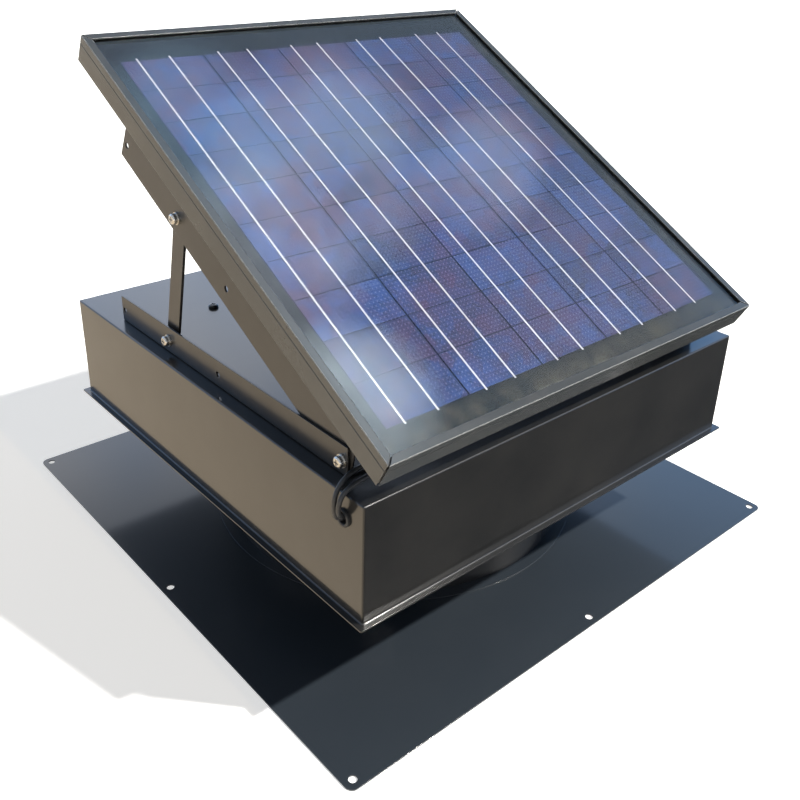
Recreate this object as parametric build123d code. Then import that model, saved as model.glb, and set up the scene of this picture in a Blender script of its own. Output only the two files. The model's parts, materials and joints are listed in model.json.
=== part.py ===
"""Solar attic fan: a roof flashing with a round throat, a square hood, a fan and a tilting solar panel.

Units are millimetres, +Z is up. The origin is the centre of the flashing's underside. +X runs along
the panel's hinge line and -Y is the side that the hinge is on. The panel, its brackets and everything
on them are drawn in the panel's own plane, in x, s (up the slope) and n (out of the glass).
"""
from build123d import *
from math import acos, asin, atan2, cos, degrees, hypot, pi, radians, sin, sqrt
import os

# ---------------------------------------------------------------- driving dimensions

SHEET = 1.2                     # thickness of the flashing, collar and hood steel
GAP = 0.05                      # clearance between pieces of one body that lie against each other

FLASHING_SIDE = 552.0
FLASHING_CORNER = 7.0
ROOF_HOLE_INSET = 8.5
ROOF_HOLE_RADIUS = 3.4

COLLAR_RADIUS = 175.0
COLLAR_TOP = 112.0
COLLAR_FOOT_WIDTH = 12.0
COLLAR_FOOT = 0.8
COLLAR_BEAD = 2.0

HOOD_SIDE = 458.0
HOOD_BOTTOM = 94.0
HOOD_TOP = 198.0
HOOD_LIP = 5.5
HOOD_TOP_ROUND = 3.0
HOOD_CORNER_ROUND = 1.6

POST_WIDTH = 30.0
POST_SHEET = 1.6
POST_FOOT_HEIGHT = 40.0
POST_TAB = 24.0
POST_SCREW_RADIUS = 186.0       # distance of the hood screws from the fan's axis
POST_RIVET_HEIGHTS = (58.0, 88.0)
POST_NOTCH = 8.0                # half the height of the notch round the collar's bead

SCREEN_HEIGHT = 95.4
SCREEN_SHEET = 1.0
SCREEN_BORDER = 4.0
SCREEN_SECTORS = 16
SCREEN_SLOTS = 4                # slots in one sector
SCREEN_BAR = 0.45               # half the angle that a bar between slots takes, in degrees
SCREEN_KERF = 0.02              # half the angle between two sectors

PANEL_TILT = 28.5               # degrees, as it stands
PANEL_WIDTH = 445.0
PANEL_LENGTH = 470.0
FRAME_DEPTH = 25.0
FRAME_WALL = 1.5
FRAME_LIP = 7.0
FRAME_SHELF = 12.0
FRAME_FLANGE = 25.0
GLASS_POCKET = 5.0
FRAME_GROOVE_DEPTH_DOWN = 7.5   # how far the groove lies below the frame's top face

GLASS = 3.2
CELL_COLUMNS = 5
CELL_ROWS = 10
CELL_WIDTH = 79.0
CELL_HEIGHT = 39.8
CELL_GAP_X = 1.4
CELL_GAP_S = 0.9
CELLS_FROM_LEFT = 19.5
CELLS_FROM_FRONT = 27.6
RIBBONS_IN_CELL = (16.1, 47.3)  # from the cell's left edge
RIBBON_WIDTH = 1.6

BOX_X = (40.0, 125.0)
BOX_S = (62.0, 128.0)
BOX_DEPTH_TO = -27.0            # the box's open side, below the frame's top face
BOX_WALL = 2.0
BOX_CORNER = 4.0
BOX_LID = 2.5
BOX_SCREW_INSET = 7.0
BOX_SCREW_RADIUS = 1.5
GLAND_X = (52.0, 68.0)
GLAND_N = -17.0
GLAND_LENGTH = 12.0
GLAND_RADIUS = 5.5
GLAND_NUT = 4.0

HINGE_Y = -187.0
HINGE_ABOVE_HOOD = 11.7
HINGE_S = 39.0                  # the hinge axis in the panel's plane
HINGE_N = -52.5

ANGLE_SHEET = 1.6
RAIL_OUTER_X = 215.5
RAIL_HEIGHT = 25.0
RAIL_FOOT = 25.0
RAIL_FRONT = -193.5
RAIL_LENGTH = 350.0
RAIL_HOLE_PITCH = 84.6
RAIL_BOLTS_Y = (-140.0, 10.0, 130.0)
RAIL_BOLT_X = 201.0

BRACKET_GAP = 0.6               # between the base rail and the side bracket
BRACKET_REAR = 392.0
BRACKET_LOW_EDGE = -67.0
BRACKET_FLANGE = 20.0
BRACKET_TAPER_END = 92.0
BRACKET_EYE_RADIUS = 9.2
BRACKET_HOLES = (172.5, 254.5, 346.5)   # distance from the hinge along the slope
BRACKET_PROP_HOLE = 1
BRACKET_BOLTS_S = (80.0, 220.0, 340.0)
BRACKET_BOLT_X = 204.0

PROP_GAP = 0.4
PROP_THICKNESS = 2.5
PROP_WIDTH = 18.6
PROP_RAIL_HOLE = 3              # the prop stands in the third hole behind the hinge

SCREW_RADIUS = 2.5
RUNNING_HOLE_RADIUS = 2.6
FREE_HOLE_RADIUS = 2.75
SCREW_HEAD_RADIUS = 4.7
SCREW_HEAD_HEIGHT = 3.2
WASHER_RADIUS = 5.4
WASHER = 1.0
SPRING_WASHER_RADIUS = 4.5
SPRING_WASHER = 1.2
NUT_RADIUS = 4.6
NUT_HEIGHT = 4.8
THREAD_PROUD = 1.6              # screw end past its nut
HOOD_SCREW_RADIUS = 3.0
HOOD_SCREW_HOLE = 3.2
RIVET_RADIUS = 2.4
RIVET_HOLE = 2.45
BLADE_RIVET_RADIUS = 2.0

HUB_HEIGHT = 58.0
BLADES = 5
BLADE_TIP_RADIUS = 163.0
BLADE_ROOT_RADIUS = 38.0
BLADE_TIP_WIDTH = 100.0
BLADE_ROOT_WIDTH = 50.0
BLADE_PITCH = 28.0
BLADE_SHEET = 1.5
BLADE_CAMBER_RADIUS = 180.0
HUB_ARM_SHEET = 2.5
SHAFT_RADIUS = 4.0
SHAFT_BOTTOM = 38.0
SHAFT_TOP = 148.5

BRIDGE_TOP = 102.0
BRIDGE_SHEET = 2.4
BRIDGE_ARM_WIDTH = 28.0
BRIDGE_DISC_RADIUS = 52.0
BRIDGE_TAB = 18.0
MOTOR_RADIUS = 45.0
MOTOR_TOP = 152.0
MOTOR_WALL = 2.0
MOTOR_SCREW_RADIUS = 2.0
MOTOR_SCREW_CIRCLE = 30.0
BEARING_RADIUS = 11.0
BEARING_WIDTH = 7.0
ROTOR_RADIUS = 32.0
STACK_HEIGHT = 22.0
SWITCH_X = 96.0

LEAD_RADIUS = 1.9
MOTOR_LEAD_RADIUS = 2.6
GROMMET_Y = -207.0
GROMMET_Z = 178.0
GROMMET_BORE = 4.6
GROMMET_NECK = 5.9
GROMMET_RIM = 7.2
GROMMET_LIP = 2.2

# ---------------------------------------------------------------- values that follow from them

HALF = FLASHING_SIDE / 2
HOOD_HALF = HOOD_SIDE / 2
HOOD_INNER = HOOD_HALF - SHEET
HOOD_CEILING = HOOD_TOP - SHEET
COLLAR_INNER = COLLAR_RADIUS - SHEET
HINGE_Z = HOOD_TOP + HINGE_ABOVE_HOOD
SLOPE = (cos(radians(PANEL_TILT)), sin(radians(PANEL_TILT)))
PANEL_ORIGIN = Vector(
    -PANEL_WIDTH / 2,
    HINGE_Y - HINGE_S * SLOPE[0] + HINGE_N * SLOPE[1],
    HINGE_Z - HINGE_S * SLOPE[1] - HINGE_N * SLOPE[0],
)
PANEL_PLANE = Plane(origin=PANEL_ORIGIN, x_dir=(1, 0, 0), z_dir=(0, -SLOPE[1], SLOPE[0]))
PANEL_PLACE = PANEL_PLANE.location

RAIL_INNER_X = RAIL_OUTER_X - ANGLE_SHEET
BRACKET_OUTER_X = RAIL_INNER_X - BRACKET_GAP
BRACKET_INNER_X = BRACKET_OUTER_X - ANGLE_SHEET
PROP_OUTER_X = BRACKET_INNER_X - PROP_GAP
PROP_INNER_X = PROP_OUTER_X - PROP_THICKNESS
PROP_FOOT_Y = HINGE_Y + PROP_RAIL_HOLE * RAIL_HOLE_PITCH
PROP_HEAD_S = BRACKET_HOLES[BRACKET_PROP_HOLE]
PROP_HEAD_Y = HINGE_Y + PROP_HEAD_S * SLOPE[0]
PROP_HEAD_Z = HINGE_Z + PROP_HEAD_S * SLOPE[1]

GLASS_TOP = -FRAME_WALL - 0.5
GLASS_BOTTOM = GLASS_TOP - GLASS
RIBBON_TOP = GLASS_BOTTOM - GAP
CELL_TOP = RIBBON_TOP - 0.15
BACKSHEET_TOP = CELL_TOP - 0.2 - GAP
BACKSHEET_BOTTOM = BACKSHEET_TOP - 0.35
BOX_N = (BOX_DEPTH_TO, BACKSHEET_BOTTOM - GAP)
LAMINATE_INSET = 3.0
POCKET_BOTTOM = -FRAME_WALL - GLASS_POCKET

POST_ANGLES = (45.0, 135.0, 225.0, 315.0)
BRIDGE_ANGLES = (0.0, 90.0, 180.0, 270.0)

# ---------------------------------------------------------------- small helpers


def block(x0, x1, y0, y1, z0, z1):
    """A box between two corners."""
    corner = (Align.MIN, Align.MIN, Align.MIN)
    return Pos(x0, y0, z0) * Box(x1 - x0, y1 - y0, z1 - z0, align=corner)


def rod(start, direction, radius, length):
    """A cylinder that starts at a point and runs along a direction."""
    upright = Cylinder(radius, length, align=(Align.CENTER, Align.CENTER, Align.MIN))
    return Plane(origin=start, z_dir=direction).location * upright


def ring(start, direction, outer, inner, length):
    """A washer or tube that starts at a point and runs along a direction."""
    return rod(start, direction, outer, length) - rod(start, direction, inner, length)


def nut(start, direction, radius, height, bore):
    """A plain hexagon nut."""
    body = extrude(RegularPolygon(radius, 6, major_radius=True), amount=height)
    body -= Cylinder(bore, height, align=(Align.CENTER, Align.CENTER, Align.MIN))
    return Plane(origin=start, z_dir=direction).location * body


def screw(seat, outward, radius, length, head_radius=SCREW_HEAD_RADIUS, head_height=SCREW_HEAD_HEIGHT):
    """A pan-head screw with a cross recess; the head stands on the seat and the shank runs back."""
    head = Cylinder(head_radius, head_height, align=(Align.CENTER, Align.CENTER, Align.MIN))
    head = fillet(head.edges().group_by(Axis.Z)[-1], head_height * 0.6)
    recess = Box(head_radius * 1.1, 1.1, head_height) + Box(1.1, head_radius * 1.1, head_height)
    head -= Pos(0, 0, head_height * 1.05) * recess
    shank = Cylinder(radius, length, align=(Align.CENTER, Align.CENTER, Align.MAX))
    return Plane(origin=seat, z_dir=outward).location * (head + shank)


def spring_washer(start, direction, radius, bore, height):
    """A flat ring with the slit of a spring washer."""
    body = ring((0, 0, 0), (0, 0, 1), radius, bore, height)
    body -= Pos(radius, 0, height / 2) * Box(radius, 0.6, height * 2)
    return Plane(origin=start, z_dir=direction).location * body


def rivet(seat, outward, radius, grip):
    """A blind rivet: a low round head on the seat, a shank through the grip and a tail behind it."""
    head = fillet(Cylinder(radius * 1.9, radius * 0.7).edges().group_by(Axis.Z)[-1], radius * 0.5)
    shank = Cylinder(radius, grip, align=(Align.CENTER, Align.CENTER, Align.MAX))
    tail = Cylinder(radius * 1.5, radius * 0.6, align=(Align.CENTER, Align.CENTER, Align.MAX))
    body = Pos(0, 0, radius * 0.35) * head + shank + Pos(0, 0, -grip) * tail
    return Plane(origin=seat, z_dir=outward).location * body


def both_sides(shape):
    """The left-hand shape and its right-hand twin."""
    return [shape, mirror(shape, about=Plane.YZ)]


def round_axis(shape, angle):
    """Turn a shape about the fan's axis."""
    return Rot(0, 0, angle) * shape


def polar(radius, angle, height):
    """A point at a radius and angle about the fan's axis."""
    return (radius * cos(radians(angle)), radius * sin(radians(angle)), height)


def outward(angle):
    """The horizontal direction away from the fan's axis."""
    return (cos(radians(angle)), sin(radians(angle)), 0)


def save(name, *shapes):
    """Write one node: a single solid, or a group of separate solids."""
    solids = [solid for shape in shapes for solid in shape.solids()]
    export_step(solids[0] if len(solids) == 1 else Compound(solids), f"parts/{name}.step")


# ---------------------------------------------------------------- roof side


def flashing_plate():
    """The square sheet that lies on the roof."""
    outline = RectangleRounded(FLASHING_SIDE, FLASHING_SIDE, FLASHING_CORNER)
    outline -= Circle(COLLAR_INNER)
    reach = HALF - ROOF_HOLE_INSET
    for x in (-reach, 0, reach):
        for y in (-reach, 0, reach):
            if x or y:
                outline -= Pos(x, y) * Circle(ROOF_HOLE_RADIUS)
    return extrude(outline, amount=SHEET)


def collar_foot():
    """The flat ring that is spot-welded to the flashing round the throat."""
    return ring((0, 0, SHEET), (0, 0, 1), COLLAR_RADIUS + COLLAR_FOOT_WIDTH, COLLAR_RADIUS, COLLAR_FOOT)


def throat_collar():
    """The round throat: an upright wall that stands on the flashing, with a rolled bead at the top."""
    section = Pos(COLLAR_RADIUS - SHEET / 2, (SHEET + COLLAR_TOP) / 2) * Rectangle(SHEET, COLLAR_TOP - SHEET)
    section += Pos(COLLAR_RADIUS + COLLAR_BEAD - SHEET, COLLAR_TOP) * Circle(COLLAR_BEAD)
    wall = revolve(Plane.XZ * section, Axis.Z)
    for angle in POST_ANGLES:
        for height in POST_RIVET_HEIGHTS:
            wall -= rod(polar(COLLAR_INNER - 3, angle, height), outward(angle), RIVET_HOLE, 8)
    for angle in BRIDGE_ANGLES:
        wall -= rod(polar(COLLAR_INNER - 3, angle, bridge_rivet_height()), outward(angle), RIVET_HOLE, 8)
    return wall


# ---------------------------------------------------------------- hood


def hood_shell():
    """The square hood: a lid, four walls and a narrow lip turned outwards at the bottom."""
    outer = block(-HOOD_HALF, HOOD_HALF, -HOOD_HALF, HOOD_HALF, HOOD_BOTTOM, HOOD_TOP)
    outer = fillet(outer.edges().filter_by(Axis.Z), HOOD_CORNER_ROUND)
    outer = fillet(outer.faces().sort_by(Axis.Z)[-1].edges(), HOOD_TOP_ROUND * 0.5)
    reach = HOOD_HALF + HOOD_LIP
    lip = block(-reach, reach, -reach, reach, HOOD_BOTTOM, HOOD_BOTTOM + SHEET)
    lip = chamfer(lip.edges().filter_by(Axis.Z), 1.2)
    shell = outer + lip
    level = shell.edges().filter_by(lambda edge: abs(edge.center().Z - HOOD_BOTTOM - SHEET) < 0.01)
    bends = [edge for edge in level if HOOD_SIDE * 0.9 < edge.length < 2 * reach - 4]
    shell = fillet(bends, 1.4)
    shell -= block(-HOOD_INNER, HOOD_INNER, -HOOD_INNER, HOOD_INNER, HOOD_BOTTOM - 1, HOOD_CEILING)
    for angle in POST_ANGLES:
        shell -= rod(polar(POST_SCREW_RADIUS, angle, HOOD_CEILING - 1), (0, 0, 1), HOOD_SCREW_HOLE, SHEET + 2)
    for x in (-RAIL_BOLT_X, RAIL_BOLT_X):
        for y in RAIL_BOLTS_Y:
            shell -= rod((x, y, HOOD_CEILING - 1), (0, 0, 1), FREE_HOLE_RADIUS, SHEET + 2)
    return shell - rod((-HOOD_HALF - 2, GROMMET_Y, GROMMET_Z), (1, 0, 0), GROMMET_NECK, SHEET + 4)


def hood_post(angle):
    """A strap from the collar's wall to the hood's ceiling, with a tab turned outwards at the top."""
    half = POST_WIDTH / 2
    inner = COLLAR_RADIUS + 0.1
    strap = block(inner, inner + POST_SHEET, -half, half, POST_FOOT_HEIGHT, HOOD_CEILING)
    tab = block(inner, inner + POST_TAB, -half, half, HOOD_CEILING - POST_SHEET, HOOD_CEILING)
    post = strap + tab
    bend = post.edges().filter_by(Axis.Y).sort_by_distance((inner, 0, HOOD_CEILING))[0]
    post = fillet(bend, POST_SHEET)
    post -= rod((POST_SCREW_RADIUS, 0, HOOD_CEILING - 4), (0, 0, 1), HOOD_SCREW_HOLE, 8)
    for height in POST_RIVET_HEIGHTS:
        post -= rod((inner - 2, 0, height), (1, 0, 0), RIVET_HOLE, 6)
    # the strap steps outwards round the bead at the collar's top
    step = COLLAR_RADIUS + 2 * COLLAR_BEAD - SHEET + 0.3
    low = COLLAR_TOP - POST_NOTCH
    high = COLLAR_TOP + POST_NOTCH
    post += block(inner, step + POST_SHEET, -half, half, low - POST_SHEET, high + POST_SHEET)
    post -= block(inner - 1, step, -half - 1, half + 1, low, high)
    return round_axis(post, angle)


def hood_post_rivets():
    """Two rivets hold each post to the collar."""
    grip = COLLAR_RADIUS + 0.1 + POST_SHEET - COLLAR_INNER + 0.1
    return [
        rivet(polar(COLLAR_RADIUS + 0.1 + POST_SHEET, angle, height), outward(angle), RIVET_RADIUS, grip)
        for angle in POST_ANGLES
        for height in POST_RIVET_HEIGHTS
    ]


def hood_screws():
    """Black round-head screws that hold the hood to its posts."""
    return [
        screw(polar(POST_SCREW_RADIUS, angle, HOOD_TOP), (0, 0, 1), HOOD_SCREW_RADIUS, 11.0, 5.0, 3.4)
        for angle in POST_ANGLES
    ]


def hood_screw_nuts():
    """Nuts welded under the posts' tabs."""
    underside = HOOD_CEILING - POST_SHEET
    return [
        nut(polar(POST_SCREW_RADIUS, angle, underside), (0, 0, -1), 5.6, 5.0, HOOD_SCREW_RADIUS + GAP)
        for angle in POST_ANGLES
    ]


def wedge(low, high):
    """A flat wedge from the fan's axis between two angles, in degrees."""
    reach = 2 * HOOD_SIDE
    corners = [(reach * cos(radians(angle)), reach * sin(radians(angle))) for angle in (low, high)]
    return make_face(Polyline((0, 0), *corners, close=True))


def bird_screen():
    """The flat slotted screen across the air gap, in sectors between the posts and the hood's walls."""
    hoop = COLLAR_RADIUS + 2 * COLLAR_BEAD + POST_SHEET + 1.4
    rim = HOOD_INNER - 0.3
    sheet = Rectangle(2 * rim, 2 * rim) - Circle(hoop)
    inside = rim - SCREEN_BORDER
    window = Rectangle(2 * inside, 2 * inside) - Circle(hoop + SCREEN_BORDER)
    sector_angle = 360 / SCREEN_SECTORS
    slot_angle = sector_angle / SCREEN_SLOTS
    quarter = []
    for sector in range(SCREEN_SECTORS // 4):
        start = sector * sector_angle
        plate = sheet & wedge(start + SCREEN_KERF, start + sector_angle - SCREEN_KERF)
        for slot in range(SCREEN_SLOTS):
            low = start + slot * slot_angle
            plate -= window & wedge(low + SCREEN_BAR, low + slot_angle - SCREEN_BAR)
        quarter.append(Pos(0, 0, SCREEN_HEIGHT) * extrude(plate, amount=SCREEN_SHEET))
    return [round_axis(plate, turn) for turn in BRIDGE_ANGLES for plate in quarter]


def cable_grommet():
    """The rubber ring in the hood's left wall."""
    wall = -HOOD_HALF
    lip = GROMMET_LIP
    body = ring((wall - lip, GROMMET_Y, GROMMET_Z), (1, 0, 0), GROMMET_RIM, GROMMET_BORE, lip)
    body += ring((wall, GROMMET_Y, GROMMET_Z), (1, 0, 0), GROMMET_NECK - GAP, GROMMET_BORE, SHEET)
    body += ring((wall + SHEET, GROMMET_Y, GROMMET_Z), (1, 0, 0), GROMMET_RIM, GROMMET_BORE, lip)
    ends = body.edges().group_by(Axis.X)
    return fillet(ends[0] + ends[-1], 0.9)


# ---------------------------------------------------------------- base rails and their fastenings


def base_rail():
    """The left angle that stands on the hood and carries the hinge and the prop."""
    rear = RAIL_FRONT + RAIL_LENGTH
    web = block(-RAIL_OUTER_X, -RAIL_INNER_X, RAIL_FRONT, rear, HOOD_TOP, HOOD_TOP + RAIL_HEIGHT)
    foot_edge = RAIL_FOOT - RAIL_OUTER_X
    foot = block(-RAIL_OUTER_X, foot_edge, RAIL_FRONT, rear, HOOD_TOP, HOOD_TOP + ANGLE_SHEET)
    rail = web + foot
    bend = rail.edges().filter_by(Axis.Y).sort_by_distance((-RAIL_OUTER_X, 0, HOOD_TOP))[0]
    rail = fillet(bend, ANGLE_SHEET * 0.9)
    rail -= rod((-RAIL_OUTER_X - 1, HINGE_Y, HINGE_Z), (1, 0, 0), FREE_HOLE_RADIUS, 5)
    for step in (PROP_RAIL_HOLE - 1, PROP_RAIL_HOLE, PROP_RAIL_HOLE + 1):
        hole_y = HINGE_Y + step * RAIL_HOLE_PITCH
        rail -= rod((-RAIL_OUTER_X - 1, hole_y, HINGE_Z), (1, 0, 0), FREE_HOLE_RADIUS, 5)
    for y in RAIL_BOLTS_Y:
        rail -= rod((-RAIL_BOLT_X, y, HOOD_TOP - 1), (0, 0, 1), FREE_HOLE_RADIUS, 5)
    return rail


def rail_bolts():
    """Screws through the rails' feet and the hood's lid."""
    seat = HOOD_TOP + ANGLE_SHEET
    length = seat - HOOD_CEILING + NUT_HEIGHT + THREAD_PROUD
    return [
        screw((x, y, seat), (0, 0, 1), SCREW_RADIUS, length)
        for x in (-RAIL_BOLT_X, RAIL_BOLT_X)
        for y in RAIL_BOLTS_Y
    ]


def rail_nuts():
    """Nuts under the hood's lid."""
    return [
        nut((x, y, HOOD_CEILING), (0, 0, -1), NUT_RADIUS, NUT_HEIGHT, SCREW_RADIUS + GAP)
        for x in (-RAIL_BOLT_X, RAIL_BOLT_X)
        for y in RAIL_BOLTS_Y
    ]


def washer_stack(seat):
    """A flat washer and a spring washer outside the left rail; the result and the head's seat."""
    y, z = seat
    outer = -RAIL_OUTER_X
    flat = ring((outer, y, z), (-1, 0, 0), WASHER_RADIUS, SCREW_RADIUS + GAP, WASHER)
    split = spring_washer(
        (outer - WASHER, y, z), (-1, 0, 0), SPRING_WASHER_RADIUS, SCREW_RADIUS + GAP, SPRING_WASHER
    )
    return [flat, split], outer - WASHER - SPRING_WASHER


def pivot_screw(seat, last_face):
    """A screw through the left rail whose nut ends past the last face that it clamps."""
    head_seat = washer_stack(seat)[1]
    length = abs(head_seat) - last_face + NUT_HEIGHT + THREAD_PROUD
    return screw((head_seat, *seat), (-1, 0, 0), SCREW_RADIUS, length)


def pivot_nut(seat, last_face):
    """The nut on the inner side of a pivot."""
    return nut((-last_face, *seat), (1, 0, 0), NUT_RADIUS, NUT_HEIGHT, SCREW_RADIUS + GAP)


def thin_spacer(seat, start_x, thickness, radius):
    """A plastic washer between two plates that turn on each other."""
    return ring((-start_x, *seat), (1, 0, 0), radius, SCREW_RADIUS + GAP, thickness)


# ---------------------------------------------------------------- prop arm


def prop_arm():
    """The left flat bar between the rail and the side bracket, with round ends."""
    foot = (PROP_FOOT_Y, HINGE_Z)
    head = (PROP_HEAD_Y, PROP_HEAD_Z)
    length = hypot(head[0] - foot[0], head[1] - foot[1])
    lean = degrees(atan2(head[1] - foot[1], head[0] - foot[0]))
    outline = SlotCenterToCenter(length, PROP_WIDTH)
    for end in (-length / 2, length / 2):
        outline -= Pos(end, 0) * Circle(RUNNING_HOLE_RADIUS)
    bar = extrude(outline, amount=PROP_THICKNESS)
    middle = ((foot[0] + head[0]) / 2, (foot[1] + head[1]) / 2)
    side = Plane(origin=(-PROP_OUTER_X, *middle), x_dir=(0, 1, 0), z_dir=(1, 0, 0))
    return side.location * (Rot(0, 0, lean) * bar)


def prop_head_nut():
    """The nut fixed to the prop's inner face at its upper hole."""
    seat = (-PROP_INNER_X, PROP_HEAD_Y, PROP_HEAD_Z)
    return nut(seat, (1, 0, 0), NUT_RADIUS, 4.0, RUNNING_HOLE_RADIUS)


def prop_top_screw():
    """The screw in the side bracket's hole; its shank ends flush with the bracket's inner face."""
    seat_x = -BRACKET_OUTER_X - prop_top_stack()
    seat = (seat_x, PROP_HEAD_Y, PROP_HEAD_Z)
    return screw(seat, (-1, 0, 0), SCREW_RADIUS, prop_top_stack() + ANGLE_SHEET)


def prop_top_stack():
    """Thickness of the plastic washer and the spring washer under the prop's upper screw."""
    return 1.6 + SPRING_WASHER


def prop_top_washers():
    """The black plastic washer against the bracket and the spring washer under the head."""
    seat = (-BRACKET_OUTER_X, PROP_HEAD_Y, PROP_HEAD_Z)
    plastic = ring(seat, (-1, 0, 0), WASHER_RADIUS, SCREW_RADIUS + GAP, 1.6)
    start = (-BRACKET_OUTER_X - 1.6, PROP_HEAD_Y, PROP_HEAD_Z)
    split = spring_washer(start, (-1, 0, 0), SPRING_WASHER_RADIUS, SCREW_RADIUS + GAP, SPRING_WASHER)
    return [plastic, split]


# ---------------------------------------------------------------- panel, drawn in its own plane


def in_panel(shape):
    """Place a shape drawn in x, s, n on the tilted panel."""
    return PANEL_PLACE * shape


def frame_profile():
    """The frame's section: wall, lip, glass shelf, bottom flange and a fine groove outside."""
    groove = FRAME_GROOVE_DEPTH_DOWN
    points = [
        (0.4, 0),
        (FRAME_LIP, 0),
        (FRAME_LIP, -FRAME_WALL),
        (FRAME_WALL, -FRAME_WALL),
        (FRAME_WALL, POCKET_BOTTOM),
        (FRAME_SHELF, POCKET_BOTTOM),
        (FRAME_SHELF, POCKET_BOTTOM - FRAME_WALL),
        (FRAME_WALL, POCKET_BOTTOM - FRAME_WALL),
        (FRAME_WALL, FRAME_WALL - FRAME_DEPTH),
        (FRAME_FLANGE, FRAME_WALL - FRAME_DEPTH),
        (FRAME_FLANGE, -FRAME_DEPTH),
        (0, -FRAME_DEPTH),
        (0, -groove - 0.5),
        (0.5, -groove),
        (0, -groove + 0.5),
        (0, -0.4),
    ]
    return make_face(Polyline(*points, close=True))


def frame_member(side):
    """One mitred length of the frame; side is front, rear, left or right."""
    seam = 0.08
    reach = FRAME_FLANGE + 5
    across = side in ("front", "rear")
    length = PANEL_WIDTH if across else PANEL_LENGTH
    # drawn as the front member: u runs inwards along s, the bar runs along x
    section = Plane(origin=(0, 0, 0), x_dir=(0, 1, 0), z_dir=(1, 0, 0)) * frame_profile()
    bar = extrude(section, amount=length)
    corners = [(seam, -1), (reach + seam + 1, reach), (length - reach - seam - 1, reach), (length - seam, -1)]
    mitre = extrude(make_face(Polyline(*corners, close=True)), amount=FRAME_DEPTH + 2)
    bar = bar & (Pos(0, 0, -FRAME_DEPTH - 1) * mitre)
    if side == "rear":
        bar = mirror(bar, about=Plane.XZ)
        bar = Pos(0, PANEL_LENGTH, 0) * bar
    if side == "left":
        bar = mirror(Rot(0, 0, 90) * bar, about=Plane.YZ)
    if side == "right":
        bar = Pos(PANEL_WIDTH, 0, 0) * (Rot(0, 0, 90) * bar)
    if side in ("left", "right"):
        bolt_x = PANEL_WIDTH / 2 - BRACKET_BOLT_X
        x = bolt_x if side == "left" else PANEL_WIDTH - bolt_x
        for s in BRACKET_BOLTS_S:
            bar -= rod((x, s, -FRAME_DEPTH - 1), (0, 0, 1), FREE_HOLE_RADIUS, FRAME_WALL + 2)
    return in_panel(bar)


def corner_keys():
    """L-shaped keys in the frame's channel at the four corners."""
    low = FRAME_WALL - FRAME_DEPTH + 0.1
    high = POCKET_BOTTOM - FRAME_WALL - 0.1
    start = FRAME_WALL + 0.1
    key = block(start, 38, start, 10, low, high) + block(start, 10, start, 38, low, high)
    far_x = PANEL_WIDTH
    far_s = PANEL_LENGTH
    return [
        in_panel(key),
        in_panel(Pos(far_x, 0, 0) * mirror(key, about=Plane.YZ)),
        in_panel(Pos(0, far_s, 0) * mirror(key, about=Plane.XZ)),
        in_panel(Pos(far_x, far_s, 0) * (Rot(0, 0, 180) * key)),
    ]


def laminate_sheet(low, high):
    """A sheet the size of the glass."""
    inset = LAMINATE_INSET
    return in_panel(block(inset, PANEL_WIDTH - inset, inset, PANEL_LENGTH - inset, low, high))


def glass_seal():
    """The rubber channel round the laminate's edge, inside the frame's pocket."""
    start = FRAME_WALL + GAP
    stop = FRAME_LIP - 0.6
    x1 = PANEL_WIDTH - start
    s1 = PANEL_LENGTH - start
    high = -FRAME_WALL - GAP
    low = POCKET_BOTTOM + GAP
    body = block(start, x1, start, s1, low, high)
    body -= block(stop, PANEL_WIDTH - stop, stop, PANEL_LENGTH - stop, low - 1, high + 1)
    inset = LAMINATE_INSET - GAP
    body -= block(
        inset, PANEL_WIDTH - inset, inset, PANEL_LENGTH - inset, BACKSHEET_BOTTOM - GAP, GLASS_TOP + GAP
    )
    return in_panel(body)


def cell_corner(column, row):
    """The lower left corner of one cell in the panel's plane."""
    x = CELLS_FROM_LEFT + column * (CELL_WIDTH + CELL_GAP_X)
    s = CELLS_FROM_FRONT + row * (CELL_HEIGHT + CELL_GAP_S)
    return x, s


def solar_cells():
    """Fifty separate wafers."""
    wafers = []
    for column in range(CELL_COLUMNS):
        for row in range(CELL_ROWS):
            x, s = cell_corner(column, row)
            wafers.append(in_panel(block(x, x + CELL_WIDTH, s, s + CELL_HEIGHT, CELL_TOP - 0.2, CELL_TOP)))
    return wafers


def cell_ribbons():
    """Two tinned ribbons up each column of cells."""
    found = []
    for column in range(CELL_COLUMNS):
        x, low = cell_corner(column, 0)
        high = cell_corner(column, CELL_ROWS - 1)[1] + CELL_HEIGHT
        for offset in RIBBONS_IN_CELL:
            left = x + offset - RIBBON_WIDTH / 2
            strip = block(left, left + RIBBON_WIDTH, low - 2, high + 3, CELL_TOP + 0.02, RIBBON_TOP)
            found.append(in_panel(strip))
    return found


# ---------------------------------------------------------------- junction box

def junction_box():
    """An open box stuck to the backsheet, with two holes for the glands."""
    low, high = BOX_N
    wall = BOX_WALL
    body = block(*BOX_X, *BOX_S, low, high)
    body = fillet(body.edges().filter_by(Axis.Z), BOX_CORNER)
    left, right = BOX_X[0] + wall, BOX_X[1] - wall
    near, far = BOX_S[0] + wall, BOX_S[1] - wall
    body -= block(left, right, near, far, low - 1, high - wall)
    for x in GLAND_X:
        body -= rod((x, BOX_S[0] - 1, GLAND_N), (0, 1, 0), GLAND_RADIUS - 1.5 + GAP, 6)
    for x, s in box_screw_spots():
        pillar = rod((x, s, low), (0, 0, 1), BOX_CORNER, high - low - wall / 2)
        body += pillar - rod((x, s, low - 1), (0, 0, 1), BOX_SCREW_RADIUS + GAP, 12)
    return in_panel(body)


def box_screw_spots():
    """Centres of the four lid screws."""
    inset = BOX_SCREW_INSET
    return [
        (x, s)
        for x in (BOX_X[0] + inset, BOX_X[1] - inset)
        for s in (BOX_S[0] + inset, BOX_S[1] - inset)
    ]


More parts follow.
